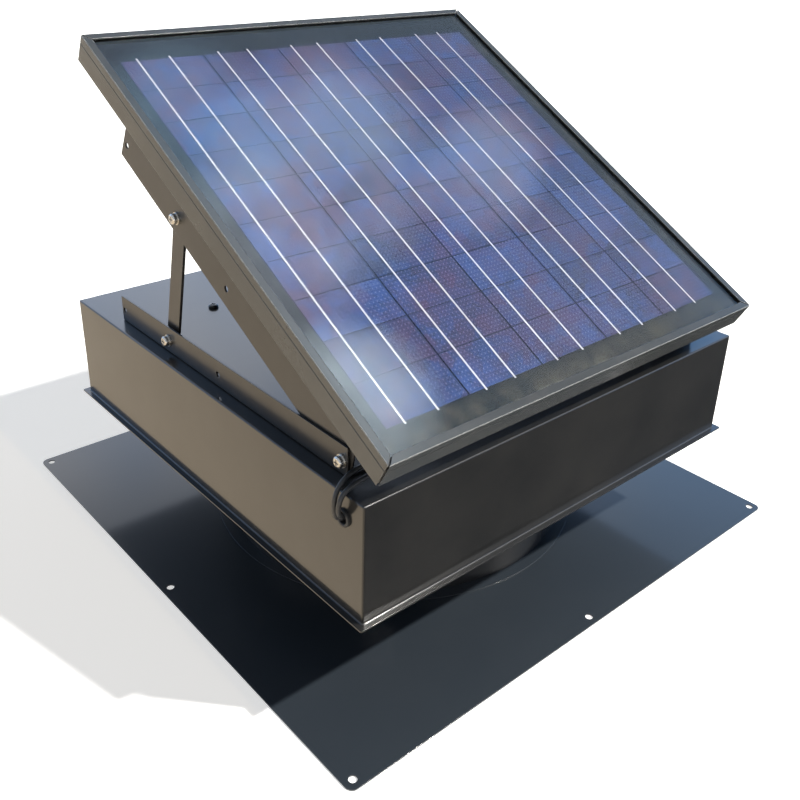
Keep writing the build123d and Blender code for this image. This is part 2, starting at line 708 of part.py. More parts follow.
def junction_box_lid():
    """The lid that closes the box from below."""
    lid = block(*BOX_X, *BOX_S, BOX_N[0] - BOX_LID, BOX_N[0])
    lid = fillet(lid.edges().filter_by(Axis.Z), BOX_CORNER)
    lid = chamfer(lid.faces().sort_by(Axis.Z)[0].edges(), 0.8)
    for x, s in box_screw_spots():
        lid -= rod((x, s, BOX_N[0] - BOX_LID - 1), (0, 0, 1), BOX_SCREW_RADIUS + GAP, BOX_LID + 2)
    return in_panel(lid)


def box_lid_screws():
    """Four small screws in the lid."""
    seat = BOX_N[0] - BOX_LID
    return [
        in_panel(screw((x, s, seat), (0, 0, -1), BOX_SCREW_RADIUS, 9.0, 2.8, 1.8))
        for x, s in box_screw_spots()
    ]


def cable_glands():
    """Two glands on the box's lower side, each with a neck through the wall."""
    found = []
    for x in GLAND_X:
        start = (x, BOX_S[0] - GLAND_LENGTH, GLAND_N)
        nose_length = GLAND_LENGTH - GLAND_NUT
        nose = Cylinder(GLAND_RADIUS, nose_length, align=(Align.CENTER, Align.CENTER, Align.MIN))
        nose = fillet(nose.edges().group_by(Axis.Z)[0], 1.6)
        collar = extrude(RegularPolygon(GLAND_RADIUS + 1.2, 6), amount=GLAND_NUT - GAP)
        neck = Cylinder(GLAND_RADIUS - 1.5, 2.9, align=(Align.CENTER, Align.CENTER, Align.MIN))
        body = nose + Pos(0, 0, nose_length) * collar + Pos(0, 0, GLAND_LENGTH - GAP) * neck
        body -= Cylinder(LEAD_RADIUS + GAP, 5, align=(Align.CENTER, Align.CENTER, Align.MIN))
        found.append(in_panel(Plane(origin=start, z_dir=(0, 1, 0)).location * body))
    return found


# ---------------------------------------------------------------- side bracket


def tangent_point(centre, radius, point, side):
    """Where the line from a point touches a circle; side is 1 or -1."""
    dx = point[0] - centre[0]
    dy = point[1] - centre[1]
    angle = atan2(dy, dx) + side * acos(radius / hypot(dx, dy))
    return centre[0] + radius * cos(angle), centre[1] + radius * sin(angle)


def side_bracket():
    """The left angle under the panel: a flange on the frame and a web with an eye for the hinge."""
    eye = (HINGE_S, HINGE_N)
    top_front = (HINGE_S - 1.0, -FRAME_DEPTH)
    taper_end = (BRACKET_TAPER_END, BRACKET_LOW_EDGE)
    outline = make_face(
        Polyline(
            top_front,
            (BRACKET_REAR, -FRAME_DEPTH),
            (BRACKET_REAR, BRACKET_LOW_EDGE),
            taper_end,
            tangent_point(eye, BRACKET_EYE_RADIUS, taper_end, -1),
            eye,
            tangent_point(eye, BRACKET_EYE_RADIUS, top_front, 1),
            close=True,
        )
    )
    outline += Pos(*eye) * Circle(BRACKET_EYE_RADIUS)
    outline -= Pos(*eye) * Circle(RUNNING_HOLE_RADIUS)
    for distance in BRACKET_HOLES:
        outline -= Pos(HINGE_S + distance, HINGE_N) * Circle(FREE_HOLE_RADIUS)
    left = PANEL_WIDTH / 2 - BRACKET_OUTER_X
    side = Plane(origin=(left, 0, 0), x_dir=(0, 1, 0), z_dir=(1, 0, 0))
    web = side.location * extrude(outline, amount=ANGLE_SHEET)
    flange = block(
        left, left + BRACKET_FLANGE, top_front[0], BRACKET_REAR, -FRAME_DEPTH - ANGLE_SHEET, -FRAME_DEPTH
    )
    bracket = web + flange
    bend = bracket.edges().filter_by(Axis.Y).sort_by_distance((left, PANEL_LENGTH / 2, -FRAME_DEPTH))[0]
    bracket = fillet(bend, ANGLE_SHEET * 0.9)
    bolt_x = PANEL_WIDTH / 2 - BRACKET_BOLT_X
    for s in BRACKET_BOLTS_S:
        bracket -= rod((bolt_x, s, -FRAME_DEPTH - 3), (0, 0, 1), FREE_HOLE_RADIUS, 5)
    return in_panel(bracket)


def bracket_bolts():
    """Bolts that hold the side brackets to the frame's bottom flange, heads down."""
    bolt_x = PANEL_WIDTH / 2 - BRACKET_BOLT_X
    seat = -FRAME_DEPTH - ANGLE_SHEET
    length = ANGLE_SHEET + FRAME_WALL + 4.0 + 1.0
    return [
        in_panel(screw((x, s, seat), (0, 0, -1), SCREW_RADIUS, length))
        for x in (bolt_x, PANEL_WIDTH - bolt_x)
        for s in BRACKET_BOLTS_S
    ]


def bracket_nuts():
    """Their nuts, inside the frame's channel."""
    bolt_x = PANEL_WIDTH / 2 - BRACKET_BOLT_X
    seat = FRAME_WALL - FRAME_DEPTH
    return [
        in_panel(nut((x, s, seat), (0, 0, 1), NUT_RADIUS, 4.0, SCREW_RADIUS + GAP))
        for x in (bolt_x, PANEL_WIDTH - bolt_x)
        for s in BRACKET_BOLTS_S
    ]


# ---------------------------------------------------------------- fan and motor


def cambered_sheet(inner, outer, width, thickness, drop):
    """A sheet curved like a blade, pitched about the X axis; drop lowers it by whole thicknesses."""
    top = BLADE_CAMBER_RADIUS - drop
    low = top - thickness
    half_angle = degrees(asin(width / 2 / BLADE_CAMBER_RADIUS))
    centre = (0, -BLADE_CAMBER_RADIUS)
    upper = CenterArc(centre, top, 90 - half_angle, 2 * half_angle)
    lower = CenterArc(centre, low, 90 - half_angle, 2 * half_angle)
    edges = Curve() + [upper, lower, Line(upper @ 0, lower @ 0), Line(upper @ 1, lower @ 1)]
    section = Plane(origin=(inner, 0, 0), x_dir=(0, 1, 0), z_dir=(1, 0, 0)) * make_face(edges)
    return Rot(BLADE_PITCH, 0, 0) * extrude(section, amount=outer - inner)


def blade_rivet_spots():
    """Radius and offset of the three rivets at a blade's root."""
    return ((50.0, 0.0), (68.0, -10.0), (68.0, 10.0))


def blade_rivet(spot, radius, reach):
    """A pin along the blade's normal through the blade and its hub arm."""
    pin = Cylinder(radius, reach)
    drop = BLADE_CAMBER_RADIUS - sqrt(BLADE_CAMBER_RADIUS ** 2 - spot[1] ** 2)
    return Rot(BLADE_PITCH, 0, 0) * (Pos(spot[0], spot[1], -drop - BLADE_SHEET) * pin)


def fan_blade(index):
    """One cambered aluminium blade."""
    sheet = cambered_sheet(BLADE_ROOT_RADIUS, BLADE_TIP_RADIUS + 2, 140.0, BLADE_SHEET, 0)
    outline = [
        (BLADE_ROOT_RADIUS, -BLADE_ROOT_WIDTH / 2),
        (BLADE_TIP_RADIUS * 0.62, -BLADE_TIP_WIDTH * 0.47),
        (BLADE_TIP_RADIUS + 4, -BLADE_TIP_WIDTH / 2),
        (BLADE_TIP_RADIUS + 4, BLADE_TIP_WIDTH / 2),
        (BLADE_TIP_RADIUS * 0.5, BLADE_TIP_WIDTH * 0.34),
        (BLADE_ROOT_RADIUS, BLADE_ROOT_WIDTH / 2),
    ]
    plan = make_face(Polyline(*outline, close=True))
    plan = fillet(plan.vertices().sort_by(Axis.X)[-2:], 24)
    plan = plan & Circle(BLADE_TIP_RADIUS)
    blade = sheet & (Pos(0, 0, -60) * extrude(plan, amount=120))
    for spot in blade_rivet_spots():
        blade -= blade_rivet(spot, BLADE_RIVET_RADIUS + GAP, 12)
    return round_axis(Pos(0, 0, HUB_HEIGHT) * blade, index * 360 / BLADES)


def fan_hub():
    """A boss and disc with one pitched arm for each blade."""
    body = rod((0, 0, HUB_HEIGHT - 14), (0, 0, 1), 13, 26)
    body += rod((0, 0, HUB_HEIGHT - 4.5), (0, 0, 1), 34, 4)
    for index in range(BLADES):
        arm = cambered_sheet(14, 80, 34.0, HUB_ARM_SHEET, BLADE_SHEET)
        for spot in blade_rivet_spots():
            arm -= blade_rivet(spot, BLADE_RIVET_RADIUS + GAP, 12)
        body += round_axis(Pos(0, 0, HUB_HEIGHT) * arm, index * 360 / BLADES)
    return body - rod((0, 0, HUB_HEIGHT - 20), (0, 0, 1), SHAFT_RADIUS + 0.02, 40)


def blade_rivets():
    """Three rivets for each blade."""
    reach = BLADE_SHEET + HUB_ARM_SHEET
    found = []
    for index in range(BLADES):
        for x, y in blade_rivet_spots():
            drop = BLADE_CAMBER_RADIUS - sqrt(BLADE_CAMBER_RADIUS ** 2 - y ** 2)
            pin = Pos(0, 0, -reach / 2) * Cylinder(BLADE_RIVET_RADIUS, reach)
            pin += Pos(0, 0, 0.9) * Cylinder(3.6, 1.4) + Pos(0, 0, -reach - 0.9) * Cylinder(3.0, 1.4)
            pin = Rot(BLADE_PITCH, 0, 0) * (Pos(x, y, -drop) * pin)
            found.append(round_axis(Pos(0, 0, HUB_HEIGHT) * pin, index * 360 / BLADES))
    return found


def motor_shaft():
    """The steel shaft with a groove for the clip under the hub."""
    shaft = rod((0, 0, SHAFT_BOTTOM), (0, 0, 1), SHAFT_RADIUS, SHAFT_TOP - SHAFT_BOTTOM)
    shaft = chamfer(shaft.edges().filter_by(GeomType.CIRCLE), 0.6)
    return shaft - ring((0, 0, SHAFT_BOTTOM + 3), (0, 0, 1), SHAFT_RADIUS + 1, SHAFT_RADIUS - 0.6, 1.1)


def shaft_clip():
    """The circlip in the shaft's groove, under the hub's boss."""
    clip = ring((0, 0, SHAFT_BOTTOM + 3.05), (0, 0, 1), SHAFT_RADIUS + 2.6, SHAFT_RADIUS - 0.5, 1.0)
    return clip - block(0, SHAFT_RADIUS + 4, -1.6, 1.6, SHAFT_BOTTOM, SHAFT_BOTTOM + 6)


def motor_bridge():
    """Four flat arms with tabs that hold the motor in the middle of the throat."""
    low = BRIDGE_TOP - BRIDGE_SHEET
    half = BRIDGE_ARM_WIDTH / 2
    end = sqrt((COLLAR_INNER - 0.2) ** 2 - half ** 2)
    body = rod((0, 0, low), (0, 0, 1), BRIDGE_DISC_RADIUS, BRIDGE_SHEET)
    for angle in BRIDGE_ANGLES:
        arm = block(0, end, -half, half, low, BRIDGE_TOP)
        tab = block(end - BRIDGE_SHEET, end, -half, half, BRIDGE_TOP - BRIDGE_TAB, BRIDGE_TOP)
        tab -= rod((end - 5, 0, bridge_rivet_height()), (1, 0, 0), RIVET_HOLE, 10)
        body += round_axis(arm + tab, angle)
    body -= rod((0, 0, low - 1), (0, 0, 1), 14, BRIDGE_SHEET + 2)
    for x, y in motor_screw_spots():
        body -= rod((x, y, low - 1), (0, 0, 1), MOTOR_SCREW_RADIUS + 0.1, BRIDGE_SHEET + 2)
    return body


def bridge_rivet_height():
    """Height of the rivets in the bridge's tabs."""
    return BRIDGE_TOP - BRIDGE_TAB + 7


def bridge_rivets():
    """One rivet holds each bridge tab to the collar."""
    end = sqrt((COLLAR_INNER - 0.2) ** 2 - (BRIDGE_ARM_WIDTH / 2) ** 2)
    grip = COLLAR_RADIUS - end + BRIDGE_SHEET + GAP
    height = bridge_rivet_height()
    return [
        rivet(polar(COLLAR_RADIUS, angle, height), outward(angle), RIVET_RADIUS, grip)
        for angle in BRIDGE_ANGLES
    ]


def motor_screw_spots():
    """Centres of the four screws between the bridge and the motor."""
    return [polar(MOTOR_SCREW_CIRCLE, angle, 0)[:2] for angle in POST_ANGLES]


def motor_housing():
    """The motor's can: a floor with the lower bearing's seat and a wall with cooling slots."""
    can = rod((0, 0, BRIDGE_TOP), (0, 0, 1), MOTOR_RADIUS, MOTOR_TOP - BRIDGE_TOP)
    can = fillet(can.edges().group_by(Axis.Z)[0], 3)
    can -= rod((0, 0, BRIDGE_TOP + 8), (0, 0, 1), MOTOR_RADIUS - MOTOR_WALL, MOTOR_TOP)
    can -= rod((0, 0, BRIDGE_TOP + 1.5), (0, 0, 1), BEARING_RADIUS + 0.02, 20)
    can -= rod((0, 0, BRIDGE_TOP - 1), (0, 0, 1), 7, 10)
    for x, y in motor_screw_spots():
        can -= rod((x, y, BRIDGE_TOP - 1), (0, 0, 1), MOTOR_SCREW_RADIUS + 0.02, 6.6)
    for index in range(12):
        slot = block(MOTOR_RADIUS - 4, MOTOR_RADIUS + 2, -2.5, 2.5, BRIDGE_TOP + 28, BRIDGE_TOP + 42)
        can -= round_axis(slot, 15 + index * 30)
    return can


def motor_end_cap():
    """The cap on top of the can, with the upper bearing's seat."""
    cap = rod((0, 0, MOTOR_TOP), (0, 0, 1), MOTOR_RADIUS, 3)
    cap = fillet(cap.edges().group_by(Axis.Z)[-1], 1.5)
    cap += rod((0, 0, MOTOR_TOP - 10), (0, 0, 1), 15, 10)
    cap -= rod((0, 0, MOTOR_TOP - 12), (0, 0, 1), BEARING_RADIUS + 0.02, 9)
    return cap


def motor_bearing(bottom):
    """A sealed ball bearing, drawn as one ring with a running fit on the shaft."""
    return ring((0, 0, bottom), (0, 0, 1), BEARING_RADIUS, SHAFT_RADIUS + GAP, BEARING_WIDTH)


def motor_stator():
    """The wound ring fixed in the can."""
    outer = MOTOR_RADIUS - MOTOR_WALL - GAP
    body = ring((0, 0, BRIDGE_TOP + 12), (0, 0, 1), outer, ROTOR_RADIUS + 1, STACK_HEIGHT)
    for index in range(12):
        slot = block(31, 38, -1.5, 1.5, BRIDGE_TOP + 11, BRIDGE_TOP + 35)
        body -= round_axis(slot, index * 30)
    return body


def motor_rotor():
    """The magnet rotor pressed on the shaft."""
    return ring((0, 0, BRIDGE_TOP + 12), (0, 0, 1), ROTOR_RADIUS, SHAFT_RADIUS + 0.02, STACK_HEIGHT)


def motor_screws():
    """Four screws up through the bridge into the motor's floor."""
    low = BRIDGE_TOP - BRIDGE_SHEET
    return [
        screw((x, y, low), (0, 0, -1), MOTOR_SCREW_RADIUS, BRIDGE_SHEET + 5, 3.6, 2.4)
        for x, y in motor_screw_spots()
    ]


# ---------------------------------------------------------------- thermal switch and the lead inside

def thermal_switch():
    """A round snap-disc switch with two blade terminals, on a bridge arm."""
    body = rod((SWITCH_X, 0, BRIDGE_TOP + 1.6), (0, 0, 1), 8.5, 9)
    body += rod((SWITCH_X, 0, BRIDGE_TOP + 10.6), (0, 0, 1), 6.5, 3)
    for y in (-4, 4):
        body += block(SWITCH_X - 3, SWITCH_X + 3, y - 0.4, y + 0.4, BRIDGE_TOP + 13, BRIDGE_TOP + 21)
    return body


def switch_clip():
    """The strip that holds the switch to the arm."""
    strip = block(SWITCH_X - 20, SWITCH_X + 20, -6, 6, BRIDGE_TOP, BRIDGE_TOP + 1.5)
    return fillet(strip.edges().filter_by(Axis.Z), 3)


def tube_along(points, radius):
    """A round tube of straight runs and tangent arcs, each arc as large as its two runs allow."""
    corners = [Vector(*point) for point in points]
    radii = []
    for before, here, after in zip(corners, corners[1:], corners[2:]):
        turn = radians((here - before).get_angle(after - here))
        shorter = min((here - before).length, (after - here).length)
        radii.append(0.45 * shorter / (sin(turn / 2) / cos(turn / 2)))
    path = FilletPolyline(*corners, radius=radii)
    section = Plane(origin=path @ 0, z_dir=path % 0) * Circle(radius)
    tube = sweep(section, path=path)
    print("tube", "length %.1f" % path.length, "radii", ["%.1f" % value for value in radii])
    print("  volume over section times length %.4f" % (tube.volume / (pi * radius ** 2 * path.length)))
    return tube


def motor_lead():
    """The sheathed pair from the grommet, past the front left post, to the motor's side."""
    wall = -HOOD_HALF + SHEET
    route = [
        (wall + 9.0, GROMMET_Y, GROMMET_Z),
        (wall + 24.0, GROMMET_Y + 1.0, GROMMET_Z - 1.0),
        (-192.0, -190.0, 174.0),
        (-177.0, -163.0, 168.0),
        (-160.0, -130.0, 161.0),
        (-134.0, -97.0, 154.0),
        (-103.0, -67.0, 146.0),
        (-76.0, -45.5, 139.0),
        (-57.0, -33.0, 137.0),
        (-39.0, -22.5, 137.0),
    ]
    return tube_along(route, MOTOR_LEAD_RADIUS)


def lead_splice():
    """The heat-shrunk splice where the two panel leads become the motor's lead."""
    start = -HOOD_HALF + SHEET + 2.0
    body = rod((start, GROMMET_Y, GROMMET_Z), (1, 0, 0), GROMMET_BORE - 0.3, 7.0)
    return fillet(body.edges().filter_by(GeomType.CIRCLE), 1.2)


# ---------------------------------------------------------------- the two panel leads


def gland_mouth(x):
    """Where a lead leaves its gland, in the object's frame."""
    point = PANEL_ORIGIN + Vector(
        x,
        (BOX_S[0] - GLAND_LENGTH) * SLOPE[0] - GLAND_N * SLOPE[1],
        (BOX_S[0] - GLAND_LENGTH) * SLOPE[1] + GLAND_N * SLOPE[0],
    )
    return (point.X, point.Y, point.Z)


def front_lead():
    """The lead that hangs nearest to the hinge: gland, hood edge, grommet."""
    return [
        gland_mouth(GLAND_X[0]),
        (-171.0, -206.8, 239.0),
        (-182.0, -209.0, 222.0),
        (-198.0, -203.5, 211.5),
        (-213.0, -200.5, 209.0),
        (-227.0, -203.5, 207.5),
        (-236.0, -205.6, 199.0),
        (-237.3, -206.0, 189.0),
        (-236.0, -205.8, 181.2),
        (-231.6, -205.6, 177.2),
        (-226.0, -205.6, 176.6),
    ]


def rear_lead():
    """The lead that lies nearer to the hood's front edge."""
    return [
        gland_mouth(GLAND_X[1]),
        (-155.0, -207.0, 238.5),
        (-167.0, -210.5, 222.0),
        (-186.0, -209.5, 209.0),
        (-204.0, -208.5, 205.6),
        (-221.0, -210.5, 206.0),
        (-234.0, -212.0, 203.0),
        (-238.0, -212.0, 194.0),
        (-236.6, -210.2, 185.2),
        (-231.9, -208.6, 180.2),
        (-226.0, -208.4, 179.4),
    ]


# ---------------------------------------------------------------- write every node

os.makedirs("parts", exist_ok=True)

HINGE_SEAT = (HINGE_Y, HINGE_Z)
PROP_SEAT = (PROP_FOOT_Y, HINGE_Z)

save("flashing_plate", flashing_plate())
save("throat_collar", throat_collar())
save("collar_foot", collar_foot())
save("collar_rivets", *hood_post_rivets(), *bridge_rivets())
save("hood_shell", hood_shell())
save("hood_posts", *[hood_post(angle) for angle in POST_ANGLES])
save("hood_screws", *hood_screws())
save("hood_nuts", *hood_screw_nuts(), *rail_nuts())
save("bird_screen", *bird_screen())
save("cable_grommet", cable_grommet())

LEFT_RAIL, RIGHT_RAIL = both_sides(base_rail())
save("base_rail_left", LEFT_RAIL)
save("base_rail_right", RIGHT_RAIL)
save("rail_bolts", *rail_bolts())

HINGE_SCREW = pivot_screw(HINGE_SEAT, BRACKET_INNER_X - 0.1)
PROP_SCREW = pivot_screw(PROP_SEAT, PROP_INNER_X - 0.1)
save("pivot_screws", *both_sides(HINGE_SCREW), *both_sides(PROP_SCREW))
HINGE_NUT = pivot_nut(HINGE_SEAT, BRACKET_INNER_X - 0.1)
PROP_NUT = pivot_nut(PROP_SEAT, PROP_INNER_X - 0.1)
save("pivot_nuts", *both_sides(HINGE_NUT), *both_sides(PROP_NUT))
WASHERS = washer_stack(HINGE_SEAT)[0] + washer_stack(PROP_SEAT)[0]
save("pivot_washers", *[side for washer in WASHERS for side in both_sides(washer)])
HINGE_SPACER = thin_spacer(HINGE_SEAT, RAIL_INNER_X - 0.1, BRACKET_GAP - 0.2, 6.0)
PROP_SPACER = thin_spacer(PROP_SEAT, RAIL_INNER_X - 0.1, RAIL_INNER_X - PROP_OUTER_X - 0.2, 4.6)
save("pivot_spacers", *both_sides(HINGE_SPACER), *both_sides(PROP_SPACER))

LEFT_PROP, RIGHT_PROP = both_sides(prop_arm())
save("prop_arm_left", LEFT_PROP)
save("prop_arm_right", RIGHT_PROP)
LEFT_NUT, RIGHT_NUT = both_sides(prop_head_nut())
save("prop_nut_left", LEFT_NUT)
save("prop_nut_right", RIGHT_NUT)
save("prop_top_screws", *both_sides(prop_top_screw()))
save("prop_top_washers", *[side for washer in prop_top_washers() for side in both_sides(washer)])

for member in ("front", "rear", "left", "right"):
    save(f"frame_{member}", frame_member(member))
save("frame_corner_keys", *corner_keys())
save("glass", laminate_sheet(GLASS_BOTTOM, GLASS_TOP))
save("backsheet", laminate_sheet(BACKSHEET_BOTTOM, BACKSHEET_TOP))
save("glass_seal", glass_seal())
save("solar_cells", *solar_cells())
save("cell_ribbons", *cell_ribbons())
save("junction_box", junction_box())
save("junction_box_lid", junction_box_lid())
save("box_lid_screws", *box_lid_screws())
save("cable_glands", *cable_glands())
LEFT_BRACKET, RIGHT_BRACKET = both_sides(side_bracket())
save("side_bracket_left", LEFT_BRACKET)
save("side_bracket_right", RIGHT_BRACKET)
save("bracket_bolts", *bracket_bolts(), *bracket_nuts())

save("motor_bridge", motor_bridge())
save("motor_housing", motor_housing())
save("motor_end_cap", motor_end_cap())
save("motor_bearings", motor_bearing(BRIDGE_TOP + 1.5), motor_bearing(MOTOR_TOP - 10))
save("motor_stator", motor_stator())
save("motor_screws", *motor_screws())
save("motor_rotor", motor_rotor())
save("motor_shaft", motor_shaft())
save("fan_hub", fan_hub())
for blade_index in range(BLADES):
    save(f"fan_blade_{blade_index + 1}", fan_blade(blade_index))
save("blade_rivets", *blade_rivets())
save("shaft_clip", shaft_clip())

save("thermal_switch", thermal_switch(), switch_clip())
save("motor_lead", motor_lead(), lead_splice())
save("panel_lead_front", tube_along(front_lead(), LEAD_RADIUS))
save("panel_lead_rear", tube_along(rear_lead(), LEAD_RADIUS))
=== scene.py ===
"""The looks of the solar attic fan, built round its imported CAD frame. Lengths are in metres."""
import json
import math

import bmesh
import bpy
from mathutils import Matrix, Vector


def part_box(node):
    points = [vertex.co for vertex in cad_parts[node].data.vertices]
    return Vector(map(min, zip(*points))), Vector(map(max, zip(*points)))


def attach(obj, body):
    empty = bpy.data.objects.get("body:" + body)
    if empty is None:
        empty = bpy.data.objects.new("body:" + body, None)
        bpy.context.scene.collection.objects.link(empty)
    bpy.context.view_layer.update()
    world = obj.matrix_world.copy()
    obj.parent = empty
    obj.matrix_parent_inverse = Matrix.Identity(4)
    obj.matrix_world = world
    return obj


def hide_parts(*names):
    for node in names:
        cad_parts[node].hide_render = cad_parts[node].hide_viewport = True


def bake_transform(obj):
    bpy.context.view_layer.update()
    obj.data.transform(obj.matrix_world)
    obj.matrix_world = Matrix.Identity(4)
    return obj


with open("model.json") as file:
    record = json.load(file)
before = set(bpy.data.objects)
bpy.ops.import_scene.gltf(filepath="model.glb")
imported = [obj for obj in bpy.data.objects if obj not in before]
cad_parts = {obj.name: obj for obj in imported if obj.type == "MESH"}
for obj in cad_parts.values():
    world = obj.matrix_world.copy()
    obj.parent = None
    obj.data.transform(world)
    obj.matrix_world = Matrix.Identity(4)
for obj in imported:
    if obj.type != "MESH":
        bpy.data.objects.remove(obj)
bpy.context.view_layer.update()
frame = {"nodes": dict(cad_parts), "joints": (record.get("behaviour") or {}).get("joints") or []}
NODES = frame["nodes"]

MM = 0.001

# ---------------------------------------------------------------- places taken from the frame

JOINTS = {joint["name"]: joint for joint in frame["joints"]}
HINGE = Vector(JOINTS["panel_tilt"]["pos_m"])
TILT = math.radians(28.5)
HINGE_UP = 39 * MM           # the hinge's place up the slope from the panel's lower edge
HINGE_UNDER = 52.5 * MM      # and under the frame's upper face
PANEL_WIDTH = 445 * MM
PANEL_LENGTH = 470 * MM
PANEL_SLOPE = Vector((0, math.cos(TILT), math.sin(TILT)))
PANEL_NORMAL = Vector((0, -math.sin(TILT), math.cos(TILT)))
PANEL_CORNER = (
    HINGE - PANEL_SLOPE * HINGE_UP + PANEL_NORMAL * HINGE_UNDER - Vector((PANEL_WIDTH / 2, 0, 0))
)
PANEL_LEFT = PANEL_CORNER.x
PANEL_LOW = PANEL_CORNER.dot(PANEL_SLOPE)
PANEL_TOP = PANEL_CORNER.dot(PANEL_NORMAL)

SCREEN_LOW, SCREEN_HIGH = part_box("bird_screen")

# ---------------------------------------------------------------- camera

CAMERA_PLACE = (-0.5652, -0.6385, 0.5747)
AZIMUTH = math.radians(-41.62)
ELEVATION = math.radians(25.45)
ROLL = math.radians(1.745)
SENSOR_WIDTH_MM = 36
LENS_MM = 42.29
SHIFT_X = 0.0009
SHIFT_Y = -0.0703


def add_camera():
    """The camera stands in front of the left corner and looks slightly down."""
    back = Vector((
        math.sin(AZIMUTH) * math.cos(ELEVATION),
        -math.cos(AZIMUTH) * math.cos(ELEVATION),
        math.sin(ELEVATION),
    ))
    level_right = Vector((0, 0, 1)).cross(back).normalized()
    level_up = back.cross(level_right)
    right = level_right * math.cos(ROLL) + level_up * math.sin(ROLL)
    up = level_up * math.cos(ROLL) - level_right * math.sin(ROLL)
    data = bpy.data.cameras.new("camera")
    data.sensor_width = SENSOR_WIDTH_MM
    data.lens = LENS_MM
    data.shift_x = SHIFT_X
    data.shift_y = SHIFT_Y
    data.clip_start = 0.01
    camera = bpy.data.objects.new("camera", data)
    camera.matrix_world = Matrix((
        (right.x, up.x, back.x, CAMERA_PLACE[0]),
        (right.y, up.y, back.y, CAMERA_PLACE[1]),
        (right.z, up.z, back.z, CAMERA_PLACE[2]),
        (0, 0, 0, 1),
    ))
    bpy.context.scene.collection.objects.link(camera)
    bpy.context.scene.camera = camera


# ---------------------------------------------------------------- lights and floor

CARD_EDGE = 0.285            # the cards start just outside the flashing
CARD_LEVEL = 1 * MM


def rectangle(name, low, high, level):
    """A flat rectangle between two corners."""
    mesh = bpy.data.meshes.new(name)
    corners = [(low[0], low[1]), (high[0], low[1]), (high[0], high[1]), (low[0], high[1])]
    mesh.from_pydata([(x, y, level) for x, y in corners], [], [(0, 1, 2, 3)])
    return mesh


def add_card(name, low, high, material):
    """A card that lies on the floor and shows only in reflections."""
    mesh = rectangle(name, low, high, CARD_LEVEL)
    mesh.materials.append(material)
    card = bpy.data.objects.new(name, mesh)
    bpy.context.scene.collection.objects.link(card)
    card.visible_camera = False
    card.visible_diffuse = False
    card.visible_shadow = False
    card.visible_transmission = False


def warm_card_material():
    """A warm glow that weakens towards the back."""
    material, tree, shader = new_material("warm_card", (0, 0, 0), 1.0)
    shader.inputs["Emission Color"].default_value = (1.0, 0.815, 0.585, 1)
    split = node(tree, "SeparateXYZ", Vector=node(tree, "TexCoord").outputs["Object"])
    strength = between(tree, split.outputs["Y"], -0.1, 0.7, 1.22, 0.96)
    tree.links.new(strength, shader.inputs["Emission Strength"])
    return material


def add_cards():
    """A warm card on the left, and black ones in front and on the right for dark front faces."""
    add_card("warm_card", (-3.5, -1.2), (-CARD_EDGE, 4.5), warm_card_material())
    black = new_material("black_card", (0.01, 0.01, 0.01), 0.9)[0]
    add_card("black_card", (-0.6, -3.5), (6.0, -CARD_EDGE), black)
    add_card("black_card_right", (CARD_EDGE, -CARD_EDGE), (3.0, 0.1), black)


# soft boxes that the glass and the paint mirror:
# direction, half angle in degrees, brightness, colour
SOFT_BOXES = (
    ((0.57, 0.20, 0.79), 8.0, 1.35, (0.85, 1.0, 1.1)),
    ((0.46, 0.27, 0.84), 6.5, 1.3, (0.55, 0.95, 1.3)),
    ((0.49, 0.13, 0.86), 8.0, 1.6, (1.0, 1.05, 1.15)),
    ((0.53, -0.05, 0.85), 7.0, 5.6, (0.85, 1.0, 1.1)),
    ((0.70, 0.15, 0.70), 4.5, 0.7, (0.8, 1.0, 1.2)),
    ((0.74, -0.02, 0.66), 9.0, 0.15, (1.2, 1.0, 0.8)),
    ((0.31, 0.85, 0.42), 38.0, 1.1, (1.0, 0.75, 0.35)),
)
HORIZON = (0.46, 0.86, 1.55)
HORIZON_HEIGHT = 0.50
MIDDLE = (0.21, 0.31, 0.45)
MIDDLE_HEIGHT = 0.62
ZENITH = (0.27, 0.41, 0.72)
PLAIN = (0.62, 0.66, 0.72)          # the half of the sky on the left and in front
AMBIENT = (0.12, 0.135, 0.155)      # what matt surfaces get
BACKGROUND = (1.0, 1.0, 1.0)        # what the camera sees


def soft_box(tree, where, direction, half_angle):
    """1 towards a direction, fading to 0 at an angle from it."""
    product = tree.nodes.new("ShaderNodeVectorMath")
    product.operation = "DOT_PRODUCT"
    tree.links.new(where, product.inputs[0])
    product.inputs[1].default_value = Vector(direction).normalized()
    fade = node(tree, "MapRange", Value=product.outputs["Value"])
    fade.interpolation_type = "SMOOTHSTEP"
    fade.inputs["From Min"].default_value = math.cos(math.radians(half_angle))
    fade.inputs["From Max"].default_value = 1.0
    return fade.outputs[0]


